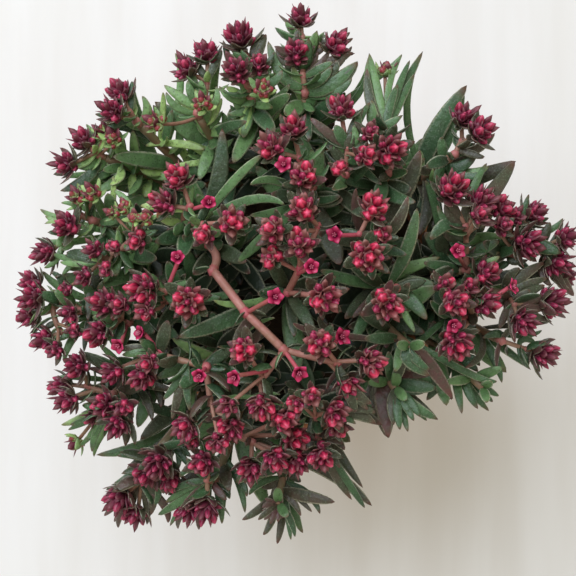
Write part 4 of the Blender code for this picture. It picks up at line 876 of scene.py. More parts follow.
def place_outer_leaves():
    """The short leaves just under the outer heads."""
    found = []
    for number, stem in enumerate(stems):
        chance = random.Random(900 + number)
        if math.dist(pixel_of(stem["top"]), CROWN_MIDDLE) < OUTER_STEM_REACH:
            continue
        height = (stem["top"] - stem["base"]).length
        for pair in range(OUTER_PAIRS):
            share = 0.99 - pair * OUTER_PAIR_SPACING / height
            for side in (0, math.pi):
                turn = pair * math.pi / 2 + side + chance.uniform(-0.4, 0.4)
                lift = math.radians(chance.uniform(20, 60))
                length = chance.uniform(*OUTER_LEAF_LENGTH) * MM
                width = chance.uniform(*OUTER_LEAF_WIDTH) * MM
                way = stem_leaf(stem, share, turn, length, lift, width)
                if is_among_heads(way[3]) and is_clear_of_gaps(way, 3 * MM):
                    found.append((way, leaf_tone(way[3], chance)))
    return found


def deselect():
    """Leaves edit mode and deselects every object."""
    if bpy.context.mode != "OBJECT":
        bpy.ops.object.mode_set(mode="OBJECT")
    bpy.ops.object.select_all(action="DESELECT")


def select_where(obj, test):
    """In edit mode, selects only the corners whose place passes a test."""
    shape = bmesh.from_edit_mesh(obj.data)
    for vert in shape.verts:
        vert.select_set(bool(test(vert.co)))
    shape.select_flush(False)
    bmesh.update_edit_mesh(obj.data)


def drawn_out(name, sides, stations, direction="X", has_tip=True):
    """A form drawn out of a disc, ring by ring. Each station is a place along it and a radius there."""
    deselect()
    along = Vector((1, 0, 0)) if direction == "X" else Vector((0, 0, 1))
    turned = (0, math.pi / 2, 0) if direction == "X" else (0, 0, 0)
    place, radius = stations[0]
    bpy.ops.mesh.primitive_circle_add(vertices=sides, radius=radius, fill_type="NGON",
                                      location=along * place, rotation=turned)
    obj = bpy.context.object
    obj.name = name
    bpy.ops.object.transform_apply()
    bpy.ops.object.mode_set(mode="EDIT")
    bpy.ops.mesh.select_all(action="SELECT")
    for next_place, next_radius in stations[1:]:
        bpy.ops.mesh.extrude_region_move(TRANSFORM_OT_translate={"value": along * (next_place - place)})
        ratio = next_radius / radius
        across = (1, ratio, ratio) if direction == "X" else (ratio, ratio, 1)
        bpy.ops.transform.resize(value=across, center_override=along * next_place)
        place, radius = next_place, next_radius
    if has_tip:
        bpy.ops.mesh.extrude_region_move(TRANSFORM_OT_translate={"value": along * (1 - place)})
        bpy.ops.mesh.merge(type="CENTER")
    bpy.ops.mesh.select_all(action="SELECT")
    bpy.ops.mesh.normals_make_consistent(inside=False)
    return obj


def finish_form(obj, u_of, material=None):
    """Gives a form its UV map, along it and across it, its tint and its material."""
    bpy.ops.object.mode_set(mode="OBJECT")
    mesh = obj.data
    if material:
        mesh.materials.append(material)
    uv_map = mesh.uv_layers.active or mesh.uv_layers.new(name="UVMap")
    for loop in mesh.loops:
        place = mesh.vertices[loop.vertex_index].co
        uv_map.data[loop.index].uv = (u_of(place), place.x)
    mesh.attributes.new("tint", "FLOAT_COLOR", "POINT")
    bpy.ops.object.shade_smooth()
    points = np.empty(len(mesh.vertices) * 3, np.float32)
    mesh.vertices.foreach_get("co", points)
    return {"mesh": mesh, "points": points.reshape(-1, 3), "obj": obj}


def across_share(place):
    """Where a corner of a flat form lies between its margins, from 0 to 1."""
    breadth = math.hypot(place.y, place.z) or 1
    return 0.5 + 0.5 * place.y / breadth


def model_leaf(material):
    """A fleshy lance-shaped blade: flat and slightly grooved above, keeled below."""
    obj = drawn_out("leaf_form", 8, ((0, 0.15), (0.1, 0.29), (0.22, 0.41), (0.36, 0.49), (0.5, 0.51),
                                     (0.64, 0.48), (0.77, 0.41), (0.88, 0.3), (0.96, 0.16)))
    select_where(obj, lambda place: place.z > 1e-4)
    bpy.ops.transform.resize(value=(1, 1, 0.7), center_override=(0, 0, 0))
    select_where(obj, lambda place: place.z < -1e-4)
    bpy.ops.transform.resize(value=(1, 1, 1.5), center_override=(0, 0, 0))
    select_where(obj, lambda place: place.z > 1e-4 and abs(place.y) < 1e-4)
    bpy.ops.transform.resize(value=(1, 1, 0.35), center_override=(0, 0, 0))
    return finish_form(obj, across_share, material)


def model_blade(name, sides, stations, flatness, material):
    """A small blade for bracts and petals."""
    obj = drawn_out(name, sides, stations)
    bpy.ops.transform.resize(value=(1, 1, flatness), center_override=(0, 0, 0))
    return finish_form(obj, across_share, material)


def is_groove(place):
    """Whether a corner of a bud lies in one of its five grooves."""
    turn = math.atan2(place.z, place.y) / math.radians(36)
    return math.hypot(place.y, place.z) > 1e-4 and round(turn) % 2 == 1


def model_bud(petal_skin, sepal_skin):
    """A pointed bud with five lobes, held in a cup of five pointed sepals."""
    petals = drawn_out("bud_form", 10, ((0.3, 0.7), (0.56, 0.92), (0.78, 0.72), (0.92, 0.36)))
    select_where(petals, is_groove)
    bpy.ops.transform.resize(value=(1, 0.76, 0.76), center_override=(0, 0, 0))
    bpy.ops.object.mode_set(mode="OBJECT")
    petals.data.materials.append(petal_skin)
    stations = ((0, 0.25), (0.22, 0.92), (0.68, 1.04), (0.4, 0.5))
    cup = drawn_out("cup_form", 10, stations, has_tip=False)
    select_where(cup, lambda place: is_groove(place) and place.x > 0.55)
    bpy.ops.transform.translate(value=(-0.32, 0, 0))
    bpy.ops.object.mode_set(mode="OBJECT")
    cup.data.materials.append(sepal_skin)
    deselect()
    cup.select_set(True)
    petals.select_set(True)
    bpy.context.view_layer.objects.active = petals
    bpy.ops.object.join()
    form = finish_form(petals, lambda place: 0.5)
    mesh = form["mesh"]
    for polygon in mesh.polygons:
        if polygon.material_index > 0:
            continue
        for index in polygon.loop_indices:
            corner = mesh.vertices[mesh.loops[index].vertex_index].co
            mesh.uv_layers.active.data[index].uv = (0 if is_groove(corner) else 1, corner.x)
    return form


def model_tube(name, sides, stations, material):
    """A length of stem, of radius 1."""
    obj = drawn_out(name, sides, [(step / stations, 1.0) for step in range(stations + 1)], has_tip=False)
    return finish_form(obj, across_share, material)


def copy_of(form, points, tint):
    """A copy of a form with its own mesh, its corners moved to these points, all inside the part's box."""
    points = np.clip(points, cad_box[0], cad_box[1])
    mesh = form["mesh"].copy()
    mesh.vertices.foreach_set("co", np.asarray(points, np.float32).ravel())
    mesh.attributes["tint"].data.foreach_set("color", np.tile(np.float32(tint), len(mesh.vertices)))
    obj = bpy.data.objects.new(form["obj"].name + "_copy", mesh)
    bpy.context.scene.collection.objects.link(obj)
    return obj


def along_curve(form, curve, side, breadth, depth, tint):
    """A copy of a form bent along a curve with one control point. Breadth and depth scale its section."""
    start, bend, end = (np.array(point) for point in curve)
    places = form["points"]
    along = places[:, :1]
    centre = start * (1 - along) ** 2 + bend * (2 * along * (1 - along)) + end * along**2
    forward = (bend - start) * (1 - along) + (end - bend) * along
    forward /= np.linalg.norm(forward, axis=1, keepdims=True)
    side = np.array(side) - forward * (forward @ np.array(side))[:, None]
    side /= np.linalg.norm(side, axis=1, keepdims=True)
    above = np.cross(forward, side)
    return copy_of(form, centre + side * (places[:, 1:2] * breadth) + above * (places[:, 2:3] * depth), tint)


def standing(form, root, tip, radius, tint, spin=0.0):
    """A copy of a form that stands straight from its root to its tip."""
    run = tip - root
    forward = run.normalized()
    side = Matrix.Rotation(spin, 3, forward) @ forward.orthogonal().normalized()
    above = forward.cross(side)
    axes = np.array((run, side * radius, above * radius))
    return copy_of(form, form["points"] @ axes + np.array(root), tint)


def level_side(direction):
    """The level direction square to this one."""
    flat = Vector((-direction.y, direction.x, 0))
    return flat.normalized() if flat.length > 1e-6 else Vector((1, 0, 0))


def finished_piece(name, copies, node):
    """One piece made of copies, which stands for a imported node."""
    deselect()
    for copy in copies:
        copy.select_set(True)
    bpy.context.view_layer.objects.active = copies[0]
    bpy.ops.object.join()
    piece = bpy.context.object
    piece.name = name
    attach(piece, "root")
    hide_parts(node)
    return piece


def leaf_copy(forms, way, tone, chance):
    """One leaf along its curve."""
    _, root, bend, tip, width = way
    tint = (tone, chance.random(), chance.random(), 1)
    return along_curve(forms["leaf"], (root, bend, tip), level_side(tip - root), width,
                       LEAF_THICKNESS * 1.25, tint)


def stem_copies(forms, stem, is_first):
    """A stem in two lengths that bend into each other."""
    base, middle, top = stem["base"], stem["middle"], stem["top"]
    root = base - Vector((0, 0, 6 * MM)) if is_first else base
    side = level_side(top - base)
    tint = (0.15, 0.5, 0.5, 1)
    lower = along_curve(forms["tube"], (root, (root + middle) / 2, middle), side, STEM_ROOT_RADIUS,
                        STEM_ROOT_RADIUS, tint)
    upper = along_curve(forms["tube"], (middle, (middle + top) / 2, top), side, STEM_TIP_RADIUS,
                        STEM_TIP_RADIUS, tint)
    return [lower, upper]


def small_pairs(forms, stem, chance):
    """Pairs of small leaves that hide the upper part of a stem."""
    height = (stem["top"] - stem["base"]).length
    copies = []
    for pair in range(int(0.5 * height / SMALL_PAIR_SPACING)):
        share = 0.98 - pair * SMALL_PAIR_SPACING / height
        place = stem_point(stem, share)
        along = (stem_point(stem, share + 0.02) - place).normalized()
        copies += leaf_pair(forms, place, along, chance.uniform(9, 14) * MM, chance)
    return copies


def make_leafy_stems(forms, leaves):
    """One piece for each clump of leafy stems."""
    groups = {}
    for stem in stems:
        is_first = stem["node"] not in groups
        groups.setdefault(stem["node"], []).extend(stem_copies(forms, stem, is_first))
    chance = random.Random(7)
    for stem in stems:
        if painted_light(*pixel_of(stem["top"])) > 0.2:
            groups[stem["node"]] += small_pairs(forms, stem, chance)
    for way, tone in leaves:
        if way[0] in groups:
            groups[way[0]].append(leaf_copy(forms, way, tone, chance))
    for node, copies in groups.items():
        finished_piece("fine_" + node, copies, node)


def bud_copy(forms, neck, tip, width, ripeness, darkness, chance):
    """One bud at the end of a thin stalk of its own, which starts at the neck of its head."""
    root = neck.lerp(tip, 0.36 - 0.14 * darkness)
    tint = (ripeness, chance.random(), darkness, 1)
    stalk_tint = (0.5, chance.random(), 0.5, 1)
    stalk = standing(forms["pedicel"], neck, neck.lerp(tip, 0.46), PEDICEL_RADIUS, stalk_tint)
    aside = Vector([chance.uniform(-0.5, 0.5) * MM for _ in range(3)])
    spin = chance.uniform(0, math.tau)
    return [stalk, standing(forms["bud"], root + aside, tip + aside, width / 2, tint, spin)]


def leafy_bract(forms, root, out, axis, length, tone, chance):
    """A small fleshy leaf that grows outwards from a stalk and then turns up along it."""
    lift = chance.uniform(0.35, 0.75)
    tip = root + (out + axis * lift).normalized() * length
    bend = root + out * (length * 0.5)
    side = axis.cross(out).normalized()
    tint = (tone, chance.random(), chance.uniform(0.4, 1), 1)
    width = length * chance.uniform(0.36, 0.46)
    return along_curve(forms["leaflet"], (root, bend, tip), side, width, LEAF_THICKNESS * 0.8, tint)


def round_about(axis, turn):
    """A direction square to an axis."""
    return Matrix.Rotation(turn, 3, axis) @ axis.orthogonal().normalized()


def dark_bract(forms, root, corner, tip, axis, darkness, chance):
    """One of the small maroon bracts that stand between the buds of a head."""
    side = axis.cross(tip - root)
    width = chance.uniform(2.8, 4) * MM
    tint = (0.6, chance.random(), darkness, 1)
    return along_curve(forms["sepal"], (root, corner, tip), side, width, 0.9 * MM, tint)


def head_copies(forms, head, chance):
    """A bud head: its stalk, its buds that fan out from its neck, and the bracts among and round them."""
    sides, tiers, core, reach, stalk = HEAD_FORMS[head["form"]]
    scale, centre, axis = head["scale"], head["centre"], head["axis"]
    is_green = head["place"] in GREEN_HEADS
    from_middle = math.dist(head["place"], CROWN_MIDDLE) / CROWN_EDGE_PIXELS
    ripeness = GREEN_RIPENESS if is_green else 1.05 - 0.62 * from_middle
    start, _, neck = head["stalk"]
    tint = (0.85 - 0.5 * from_middle, chance.random(), 0.5, 1)
    drawn = stalk * STALK_SLIMNESS
    copies = [along_curve(forms["tube"], head["stalk"], level_side(neck - start), drawn, drawn, tint)]
    neck = neck - axis * (0.2 * core)
    bud_width = (4.2 if tiers > 1 else 3.8) * MM * scale * (1 if is_green else 1 - 0.22 * from_middle)
    for _, tip, is_bract in head["buds"]:
        if is_bract:
            out = (tip - centre).normalized()
            tone = bract_tone(is_green, from_middle, chance)
            copies.append(leafy_bract(forms, neck, out, axis, (tip - neck).length, tone, chance))
        else:
            is_ripe = not is_green and chance.random() < 0.55 - 0.3 * from_middle
            ripe = ripeness * (1 if is_ripe else chance.uniform(0.3, 0.55))
            width = bud_width * (chance.uniform(1.05, 1.25) if is_ripe else chance.uniform(0.7, 0.95))
            tip = tip + axis * ((0.8 if is_ripe else chance.uniform(-1.6, 0)) * MM)
            copies += bud_copy(forms, neck, tip, width, ripe, from_middle, chance)
    for ring in head["rings"]:
        for corner in ring:
            outward = (corner - centre).normalized()
            if outward.dot(axis) < -0.5:
                continue
            tip = corner + (outward + axis * 0.7) * (reach * scale * chance.uniform(0.4, 0.95))
            copies.append(dark_bract(forms, neck, corner, tip, axis, from_middle, chance))
            if outward.dot(axis) > -0.1 and chance.random() < 0.25:
                twist = Matrix.Rotation(chance.uniform(0.35, 0.75), 3, axis)
                tip = centre + twist @ outward * (core + reach * chance.uniform(0.3, 0.7)) * scale
                ripe = ripeness * chance.uniform(0.3, 0.6)
                copies += bud_copy(forms, neck, tip, bud_width * 0.7, ripe, from_middle, chance)
    first_turn = chance.uniform(0, math.tau)
    for number in range(sides + 1):
        out = round_about(axis, first_turn + math.tau * number / (sides + 1))
        length = (core + reach) * scale * chance.uniform(1.1, 1.55)
        copies.append(leafy_bract(forms, neck, out, axis, length, bract_tone(is_green, from_middle, chance),
                                  chance))
    return copies


def bract_tone(is_green, from_middle, chance):
    """The tone of a small leaf by a head: green under a young head, and purple-brown to green elsewhere."""
    return chance.uniform(0.75, 1) if is_green else chance.uniform(-0.08, 0.32 - 0.12 * from_middle)


def leaf_pair(forms, place, along, length, chance):
    """A pair of small leaves at a place on a branch, left out where they would hide the floor in a gap."""
    turn = chance.uniform(0, math.tau)
    copies = []
    for side in (0, math.pi):
        out = round_about(along, turn + side)
        tone = leaf_tone(place, chance)
        spread = pixel_of(place + (out + along * 0.5).normalized() * (0.7 * length))
        if all(math.dist(spread, gap[:2]) > gap[2] + 3 for gap in FLOOR_GAPS):
            copies.append(leafy_bract(forms, place, out, along, length, tone, chance))
    return copies


def branch_copies(forms, path, radius, chance):
    """One branch with its fork, the pair of leaves there, and more pairs on an outer branch."""
    start, bend, end = path
    from_middle = math.dist(pixel_of(end), CROWN_MIDDLE) / CROWN_EDGE_PIXELS
    tint = (0.88 - 0.55 * from_middle, chance.random(), 0.5, 1)
    fork_tint = (1 - 0.12 * from_middle, chance.random(), 0.5, 1)
    onward = (end - bend).normalized()
    drawn = radius * BRANCH_SLIMNESS
    reach = onward * (FORK_REACH * radius)
    copies = [along_curve(forms["tube"], path, level_side(end - start), drawn, drawn, tint),
              standing(forms["knot"], end - reach, end + reach, radius * FORK_SWELL, fork_tint)]
    copies += leaf_pair(forms, end, onward, chance.uniform(7, 11) * MM, chance)
    if from_middle > OUTER_BRANCH_REACH:
        pairs = int((end - start).length / BRANCH_PAIR_SPACING)
        for pair in range(pairs):
            place, along = bezier(start, bend, end, (pair + 0.5) / pairs)
            copies += leaf_pair(forms, place, along.normalized(), chance.uniform(8, 13) * MM, chance)
    return copies


def flower_copies(forms, flower, chance):
    """An open flower: its stalk, five petals that stand out of a cup, its sepals and its middle."""
    fork, centre, axis = flower["fork"], flower["centre"], flower["axis"]
    cup = centre - axis * (1.4 * MM)
    middle = (fork + cup) / 2
    openness = chance.uniform(0.82, 1.1)
    tint = (chance.uniform(0.6, 1), chance.random(), 0.5, 1)
    copies = [along_curve(forms["tube"], (fork, middle, cup), level_side(cup - fork), FLOWER_STALK_RADIUS,
                          FLOWER_STALK_RADIUS, (1, chance.random(), 0.5, 1))]
    for petal_tip in flower["tips"]:
        out = (petal_tip - centre).normalized()
        side = axis.cross(out)
        spread = openness * chance.uniform(0.82, 1.12)
        tip = centre + (petal_tip - centre) * spread + axis * (2.2 * MM * (1 - spread))
        bend = cup + out * (1.9 * MM) + axis * (2.0 * MM)
        copies.append(along_curve(forms["petal"], (cup, bend, tip), side, 3.1 * MM, 0.8 * MM, tint))
        sepal_out = Matrix.Rotation(math.radians(36), 3, axis) @ out
        sepal_tip = centre + sepal_out * (1.9 * MM) - axis * (0.3 * MM)
        sepal_bend = cup + sepal_out * (1.5 * MM)
        sepal_tint = (0.6, chance.random(), 0.5, 1)
        copies.append(along_curve(forms["sepal"], (cup, sepal_bend, sepal_tip), axis.cross(sepal_out),
                                  1.5 * MM, 0.7 * MM, sepal_tint))
        low = centre - axis * (0.6 * MM)
        stamen = centre + out * (0.8 * MM) + axis * (1.2 * MM)
        copies.append(standing(forms["anther"], low, stamen, 0.22 * MM, (0.9, 0.5, 0.5, 1)))
    heart_tint = (0.3, chance.random(), 0.5, 1)
    low = centre - axis * (0.9 * MM)
    copies.append(standing(forms["anther"], low, centre + axis * (1.0 * MM), 0.75 * MM, heart_tint))
    return copies


def place_sprays():
    """The branches of every spray, with the shoot that each belongs to."""
    flowering = [(shoot_here, stem) for shoot_here, stem in zip(SHOOTS, stems) if shoot_here["heads"]]
    sprays = []
    for number, (shoot_here, stem) in enumerate(flowering):
        spray = place_branches(number + 1, shoot_here, stem)
        spray["shoot"] = shoot_here
        sprays.append(spray)
    return sprays


def make_sprays(forms, sprays, leaves):
    """One piece for each spray of branches, leaves, bud heads and open flowers."""
    for number, spray in enumerate(sprays):
        shoot_here = spray["shoot"]
        placing = random.Random(number)
        heads = [place_head(spray, form, place, placing) for place, form in shoot_here["heads"]]
        flowers = [place_flower(spray, place, placing) for place in shoot_here["flowers"]]
        chance = random.Random(1000 + number)
        copies = [leaf_copy(forms, way, tone, chance) for way, tone in leaves if way[0] == spray["node"]]
        for path, radius in zip(spray["paths"], spray["radii"]):
            copies += branch_copies(forms, path, radius, chance)
        for head in filter(None, heads):
            copies += head_copies(forms, head, chance)
        for flower in filter(None, flowers):
            copies += flower_copies(forms, flower, chance)
        finished_piece("fine_" + spray["node"], copies, spray["node"])


def wall_radius(height):
    """The radius of the pot's outer wall at a height, without the rim band."""
    top = POT_RIM_RADIUS - RIM_BAND_STEP
    return POT_FOOT_RADIUS + (top - POT_FOOT_RADIUS) * height / POT_HEIGHT


def make_pot(material):
    """The tapered clay pot: rings that round its rim band, and drain holes cut in its floor."""
    band = POT_HEIGHT - RIM_BAND_HEIGHT
    inner_top = wall_radius(POT_HEIGHT) - POT_WALL
    pot = drawn_out("fine_pot", POT_SIDES, (
        (0, POT_FOOT_RADIUS - 1 * MM),
        (1 * MM, POT_FOOT_RADIUS),
        (band, wall_radius(band)),
        (band + 0.4 * MM, POT_RIM_RADIUS - 1.4 * MM),
        (band + 1.6 * MM, POT_RIM_RADIUS - 0.6 * MM),
        (POT_HEIGHT - 2 * MM, POT_RIM_RADIUS - 0.1 * MM),
        (POT_HEIGHT - 0.6 * MM, POT_RIM_RADIUS - 0.6 * MM),
        (POT_HEIGHT, POT_RIM_RADIUS - 1.8 * MM),
        (POT_HEIGHT, inner_top + 1.4 * MM),
        (POT_HEIGHT - 1.2 * MM, inner_top),
        (POT_FLOOR + 3 * MM, wall_radius(POT_FLOOR) - POT_WALL),
        (POT_FLOOR, wall_radius(POT_FLOOR) - POT_WALL - 3 * MM),
    ), direction="Z", has_tip=False)
    deselect()
    for hole in range(DRAIN_HOLES):
        turn = math.tau * hole / DRAIN_HOLES
        place = (math.cos(turn) * DRAIN_RING_RADIUS, math.sin(turn) * DRAIN_RING_RADIUS, POT_FLOOR / 2)
        bpy.ops.mesh.primitive_cylinder_add(vertices=24, radius=DRAIN_HOLE_RADIUS, depth=3 * POT_FLOOR,
                                            location=place)
        cutter = bpy.context.object
        cut = pot.modifiers.new("drain", "BOOLEAN")
        cut.operation = "DIFFERENCE"
        cut.object = cutter
        with bpy.context.temp_override(object=pot, active_object=pot):
            bpy.ops.object.modifier_apply(modifier="drain")
        bpy.data.objects.remove(cutter)
    deselect()
    pot.select_set(True)
    bpy.context.view_layer.objects.active = pot
    bpy.ops.object.shade_smooth_by_angle(angle=math.radians(35))
    pot.data.materials.append(material)
    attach(pot, "root")
    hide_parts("pot")


def make_soil(material):
    """The soil, with an uneven top and crumbs on it."""
    radius = wall_radius(SOIL_LEVEL) - POT_WALL - 0.6 * MM
    low = POT_FLOOR + FIT_GAP
    low_radius = wall_radius(low) - POT_WALL - 3.6 * MM
    rings = [(low, low_radius), (POT_FLOOR + 6 * MM, low_radius + 3 * MM), (SOIL_LEVEL - 2 * MM, radius)]
    shares = (0.96, 0.86, 0.74, 0.62, 0.5, 0.38, 0.26, 0.12)
    rings += [(SOIL_LEVEL - 1 * MM, radius * share) for share in shares]
    soil = drawn_out("fine_soil", 64, rings, direction="Z", has_tip=False)
    bpy.ops.object.mode_set(mode="OBJECT")
    for vert in soil.data.vertices:
        if vert.co.z > SOIL_LEVEL - 1.5 * MM:
            vert.co.z += noise.noise(vert.co * 140) * 0.9 * MM
    bpy.ops.object.shade_smooth()
    chance = random.Random(11)
    crumbs = [soil]
    for _ in range(260):
        turn = chance.uniform(0, math.tau)
        reach = radius * 0.96 * math.sqrt(chance.random())
        size = chance.uniform(0.5, 1.5) * MM
        deselect()
        place = (math.cos(turn) * reach, math.sin(turn) * reach, SOIL_LEVEL - 0.9 * MM)
        bpy.ops.mesh.primitive_ico_sphere_add(subdivisions=1, radius=size, location=place,
                                              rotation=(chance.uniform(0, 3), chance.uniform(0, 3), 0),
                                              scale=(1, chance.uniform(0.6, 1), chance.uniform(0.5, 0.9)))
        crumbs.append(bpy.context.object)
        bpy.ops.object.transform_apply()
    deselect()
    for crumb in crumbs:
        crumb.select_set(True)
    bpy.context.view_layer.objects.active = soil
    bpy.ops.object.join()
    soil.data.materials.append(material)
    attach(soil, "root")
    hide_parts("soil")


class Shader:
    """A material and short calls to add nodes to it."""

    def __init__(self, name, roughness, specular=0.5):
        self.material = bpy.data.materials.new(name)
        self.material.use_nodes = True
        self.tree = self.material.node_tree
        self.surface = self.tree.nodes["Principled BSDF"]
        self.surface.inputs["Roughness"].default_value = roughness
        self.surface.inputs["Specular IOR Level"].default_value = specular

    def node(self, kind, values=(), **settings):
        """A node of this kind. Values are a number, a colour or an output for each input, by name."""
        made = self.tree.nodes.new("ShaderNode" + kind)
        for key, value in settings.items():
            setattr(made, key, value)
        for key, value in dict(values).items():
            if isinstance(value, bpy.types.NodeSocket):
                self.tree.links.new(value, made.inputs[key])
            else:
                made.inputs[key].default_value = value
        return made

    def maths(self, operation, first, second=0.0, third=0.0):
        """The result of one arithmetic step."""
        return self.node("Math", {0: first, 1: second, 2: third}, operation=operation).outputs[0]

    def step(self, value, low, high):
        """0 below low and 1 above high, or the other way round, with a smooth way between."""
        made = self.node("MapRange", {0: value, 1: low, 2: high}, interpolation_type="SMOOTHSTEP")
        return made.outputs[0]

    def mix(self, share, first, second):
        """A mix of two colours."""
        made = self.node("Mix", {0: share, 6: first, 7: second}, data_type="RGBA")
        return made.outputs[2]

    def place(self):
        """The Object coordinates."""
        return self.node("TexCoord").outputs["Object"]

    def noise(self, scale, detail=3.0, vector=None):
        """Soft noise of this many features a metre."""
        values = {"Vector": vector or self.place(), "Scale": scale, "Detail": detail}
        return self.node("TexNoise", values).outputs["Fac"]

    def spots(self, scale, size):
        """Round spots: 1 inside them and 0 outside."""
        cells = self.node("TexVoronoi", {"Vector": self.place(), "Scale": scale, "Randomness": 1.0})
        return self.step(cells.outputs["Distance"], size, size * 0.6)

    def tint(self):
        """The three numbers that each copy carries."""
        attribute = self.node("Attribute", attribute_name="tint")
        return self.node("SeparateColor", {0: attribute.outputs["Color"]}).outputs

    def uv(self):
        """Where a point lies across a form and along it."""
        return self.node("SeparateXYZ", {0: self.node("UVMap").outputs[0]}).outputs

    def ramp(self, value, stops):
        """A colour picked from these stops, each a place and a colour."""
        made = self.node("ValToRGB", {0: value})
        elements = made.color_ramp.elements
        while len(elements) < len(stops):
            elements.new(0.5)
        for element, (place, colour) in zip(elements, stops):
            element.position = place
            element.color = (*colour, 1)
        return made.outputs[0]

    def bump(self, height, depth, strength=0.6):
        """Relief of this depth."""
        made = self.node("Bump", {"Height": height, "Distance": depth, "Strength": strength})
        self.tree.links.new(made.outputs[0], self.surface.inputs["Normal"])

    def colour(self, output):
        """Sets what the surface's base colour follows."""
        self.tree.links.new(output, self.surface.inputs["Base Color"])
        return self.material


def leaf_material():
    """Fleshy leaf: green to brown by the leaf, dotted, with a red-brown tip and a pale thin margin; its
    darkest greens are painted shade, and its pale speckle is partly fuzz and partly painted highlight.
    """
    shader = Shader("fleshy_leaf", 0.42)
    tone, chance, edge = shader.tint()[:3]
    across, along = shader.uv()[:2]
    varied = shader.maths("ADD", tone, shader.maths("MULTIPLY", shader.noise(90), 0.3))
    varied = shader.maths("SUBTRACT", varied, 0.15)
    varied = shader.maths("MULTIPLY_ADD", varied, 0.8, 0.2)
    # The stops at 0 and 0.1 are painted shade: the near-black greens of inner leaves deep in the plant.
    base = shader.ramp(varied, ((0.0, (0.016, 0.028, 0.015)), (0.1, (0.03, 0.045, 0.024)),
                                (0.2, (0.12, 0.036, 0.042)), (0.36, (0.055, 0.06, 0.032)),
                                (0.48, (0.03, 0.076, 0.032)), (0.6, (0.055, 0.13, 0.048)),
                                (0.8, (0.18, 0.33, 0.12)), (1.0, (0.38, 0.56, 0.18))))
    blotches = shader.maths("MULTIPLY", shader.step(shader.noise(330, 5), 0.45, 0.68), 0.4)
    base = shader.mix(blotches, base, (0.035, 0.055, 0.024, 1))
    # Pale speckle: partly the leaves' fine pale fuzz and partly painted speckled highlights, left off the
    # darkest leaves.
    fuzz_and_glints = shader.maths("MULTIPLY", shader.step(shader.noise(1800), 0.52, 0.72), 0.32)
    fuzz_and_glints = shader.maths("MULTIPLY", fuzz_and_glints, shader.step(varied, 0.15, 0.4))
    base = shader.mix(fuzz_and_glints, base, (0.26, 0.37, 0.24, 1))
    dots = shader.maths("MULTIPLY", shader.spots(700, 0.24), 0.6)
    dotted = shader.mix(dots, base, (0.03, 0.03, 0.018, 1))
    reach = shader.maths("MULTIPLY_ADD", chance, 0.12, 0.8)
    tip = shader.maths("MULTIPLY", shader.step(along, reach, 1.02), 0.75)
    tipped = shader.mix(tip, dotted, (0.14, 0.04, 0.03, 1))
    margin = shader.maths("ABSOLUTE", shader.maths("SUBTRACT", across, 0.5))
    margin = shader.maths("MULTIPLY", shader.step(margin, 0.4, 0.48), shader.maths("MULTIPLY", edge, 0.85))
    margin = shader.maths("MULTIPLY", margin, shader.step(shader.noise(1500), 0.25, 0.6))
    shader.bump(shader.noise(520, 4), 0.6 * MM, 0.7)
    shader.surface.inputs["Subsurface Weight"].default_value = 0.08
    shader.surface.inputs["Subsurface Radius"].default_value = (0.6 * MM, 1.0 * MM, 0.4 * MM)
    return shader.colour(shader.mix(margin, tipped, (0.5, 0.5, 0.36, 1)))


def stem_material():
    """Stem skin: green-brown low down and salmon pink in the sprays."""
    shader = Shader("stem_skin", 0.5)
    tone = shader.tint()[0]
    base = shader.ramp(tone, ((0.0, (0.12, 0.14, 0.06)), (0.3, (0.26, 0.17, 0.1)),
                              (0.7, (0.42, 0.2, 0.16)), (0.9, (0.46, 0.18, 0.16)),
                              (1.0, (0.52, 0.075, 0.12))))
    patches = shader.maths("MULTIPLY", shader.step(shader.noise(110, 4), 0.42, 0.66), 0.55)
    base = shader.mix(patches, base, (0.24, 0.15, 0.08, 1))
    streaks = shader.step(shader.noise(260, 4), 0.35, 0.75)
    base = shader.mix(shader.maths("MULTIPLY", streaks, 0.4), base, (0.34, 0.09, 0.085, 1))
    shader.bump(shader.noise(620, 4), 0.4 * MM, 0.8)
    return shader.colour(base)


def bud_material():
    """Closed petals: crimson when ripe, dark before that, and green and red in a young head, with a painted
    highlight at the tip and painted shade in the grooves.
    """
    shader = Shader("crimson_bud", 0.36)
    ripe = shader.tint()[0]
    ridge, along = shader.uv()[:2]
    # Crimson that darkens towards the root; the lightest stops at the tip are a painted highlight.
    ripe_with_tip_highlight = shader.ramp(along, ((0.4, (0.16, 0.006, 0.02)), (0.72, (0.46, 0.014, 0.055)),
                                 (0.88, (0.68, 0.035, 0.1)), (1.0, (0.84, 0.12, 0.24))))
    unripe_with_tip_highlight = shader.ramp(along, ((0.4, (0.11, 0.008, 0.026)), (0.75, (0.27, 0.018, 0.065)),
                               (1.0, (0.46, 0.045, 0.12))))
    young = shader.mix(shader.step(along, 0.45, 0.85), (0.2, 0.21, 0.075, 1), (0.28, 0.035, 0.045, 1))
    petals = shader.mix(shader.step(ripe, 0.35, 0.85), unripe_with_tip_highlight, ripe_with_tip_highlight)
    # Painted shade: the grooves between the petals are darkened, less so near the tip.
    groove_shade = shader.maths("MULTIPLY", shader.step(ridge, 0.5, 0.0), shader.step(along, 1.0, 0.7))
    groove_shade = shader.maths("MULTIPLY", groove_shade, 0.62)
    petals = shader.mix(groove_shade, petals, (0.07, 0.004, 0.014, 1))
    blotches = shader.maths("MULTIPLY", shader.step(shader.noise(650), 0.45, 0.7), 0.5)
    petals = shader.mix(blotches, petals, (0.16, 0.006, 0.03, 1))
    shader.bump(shader.noise(1400), 0.2 * MM)
    return shader.colour(shader.mix(shader.step(ripe, 0.02, 0.16), young, petals))


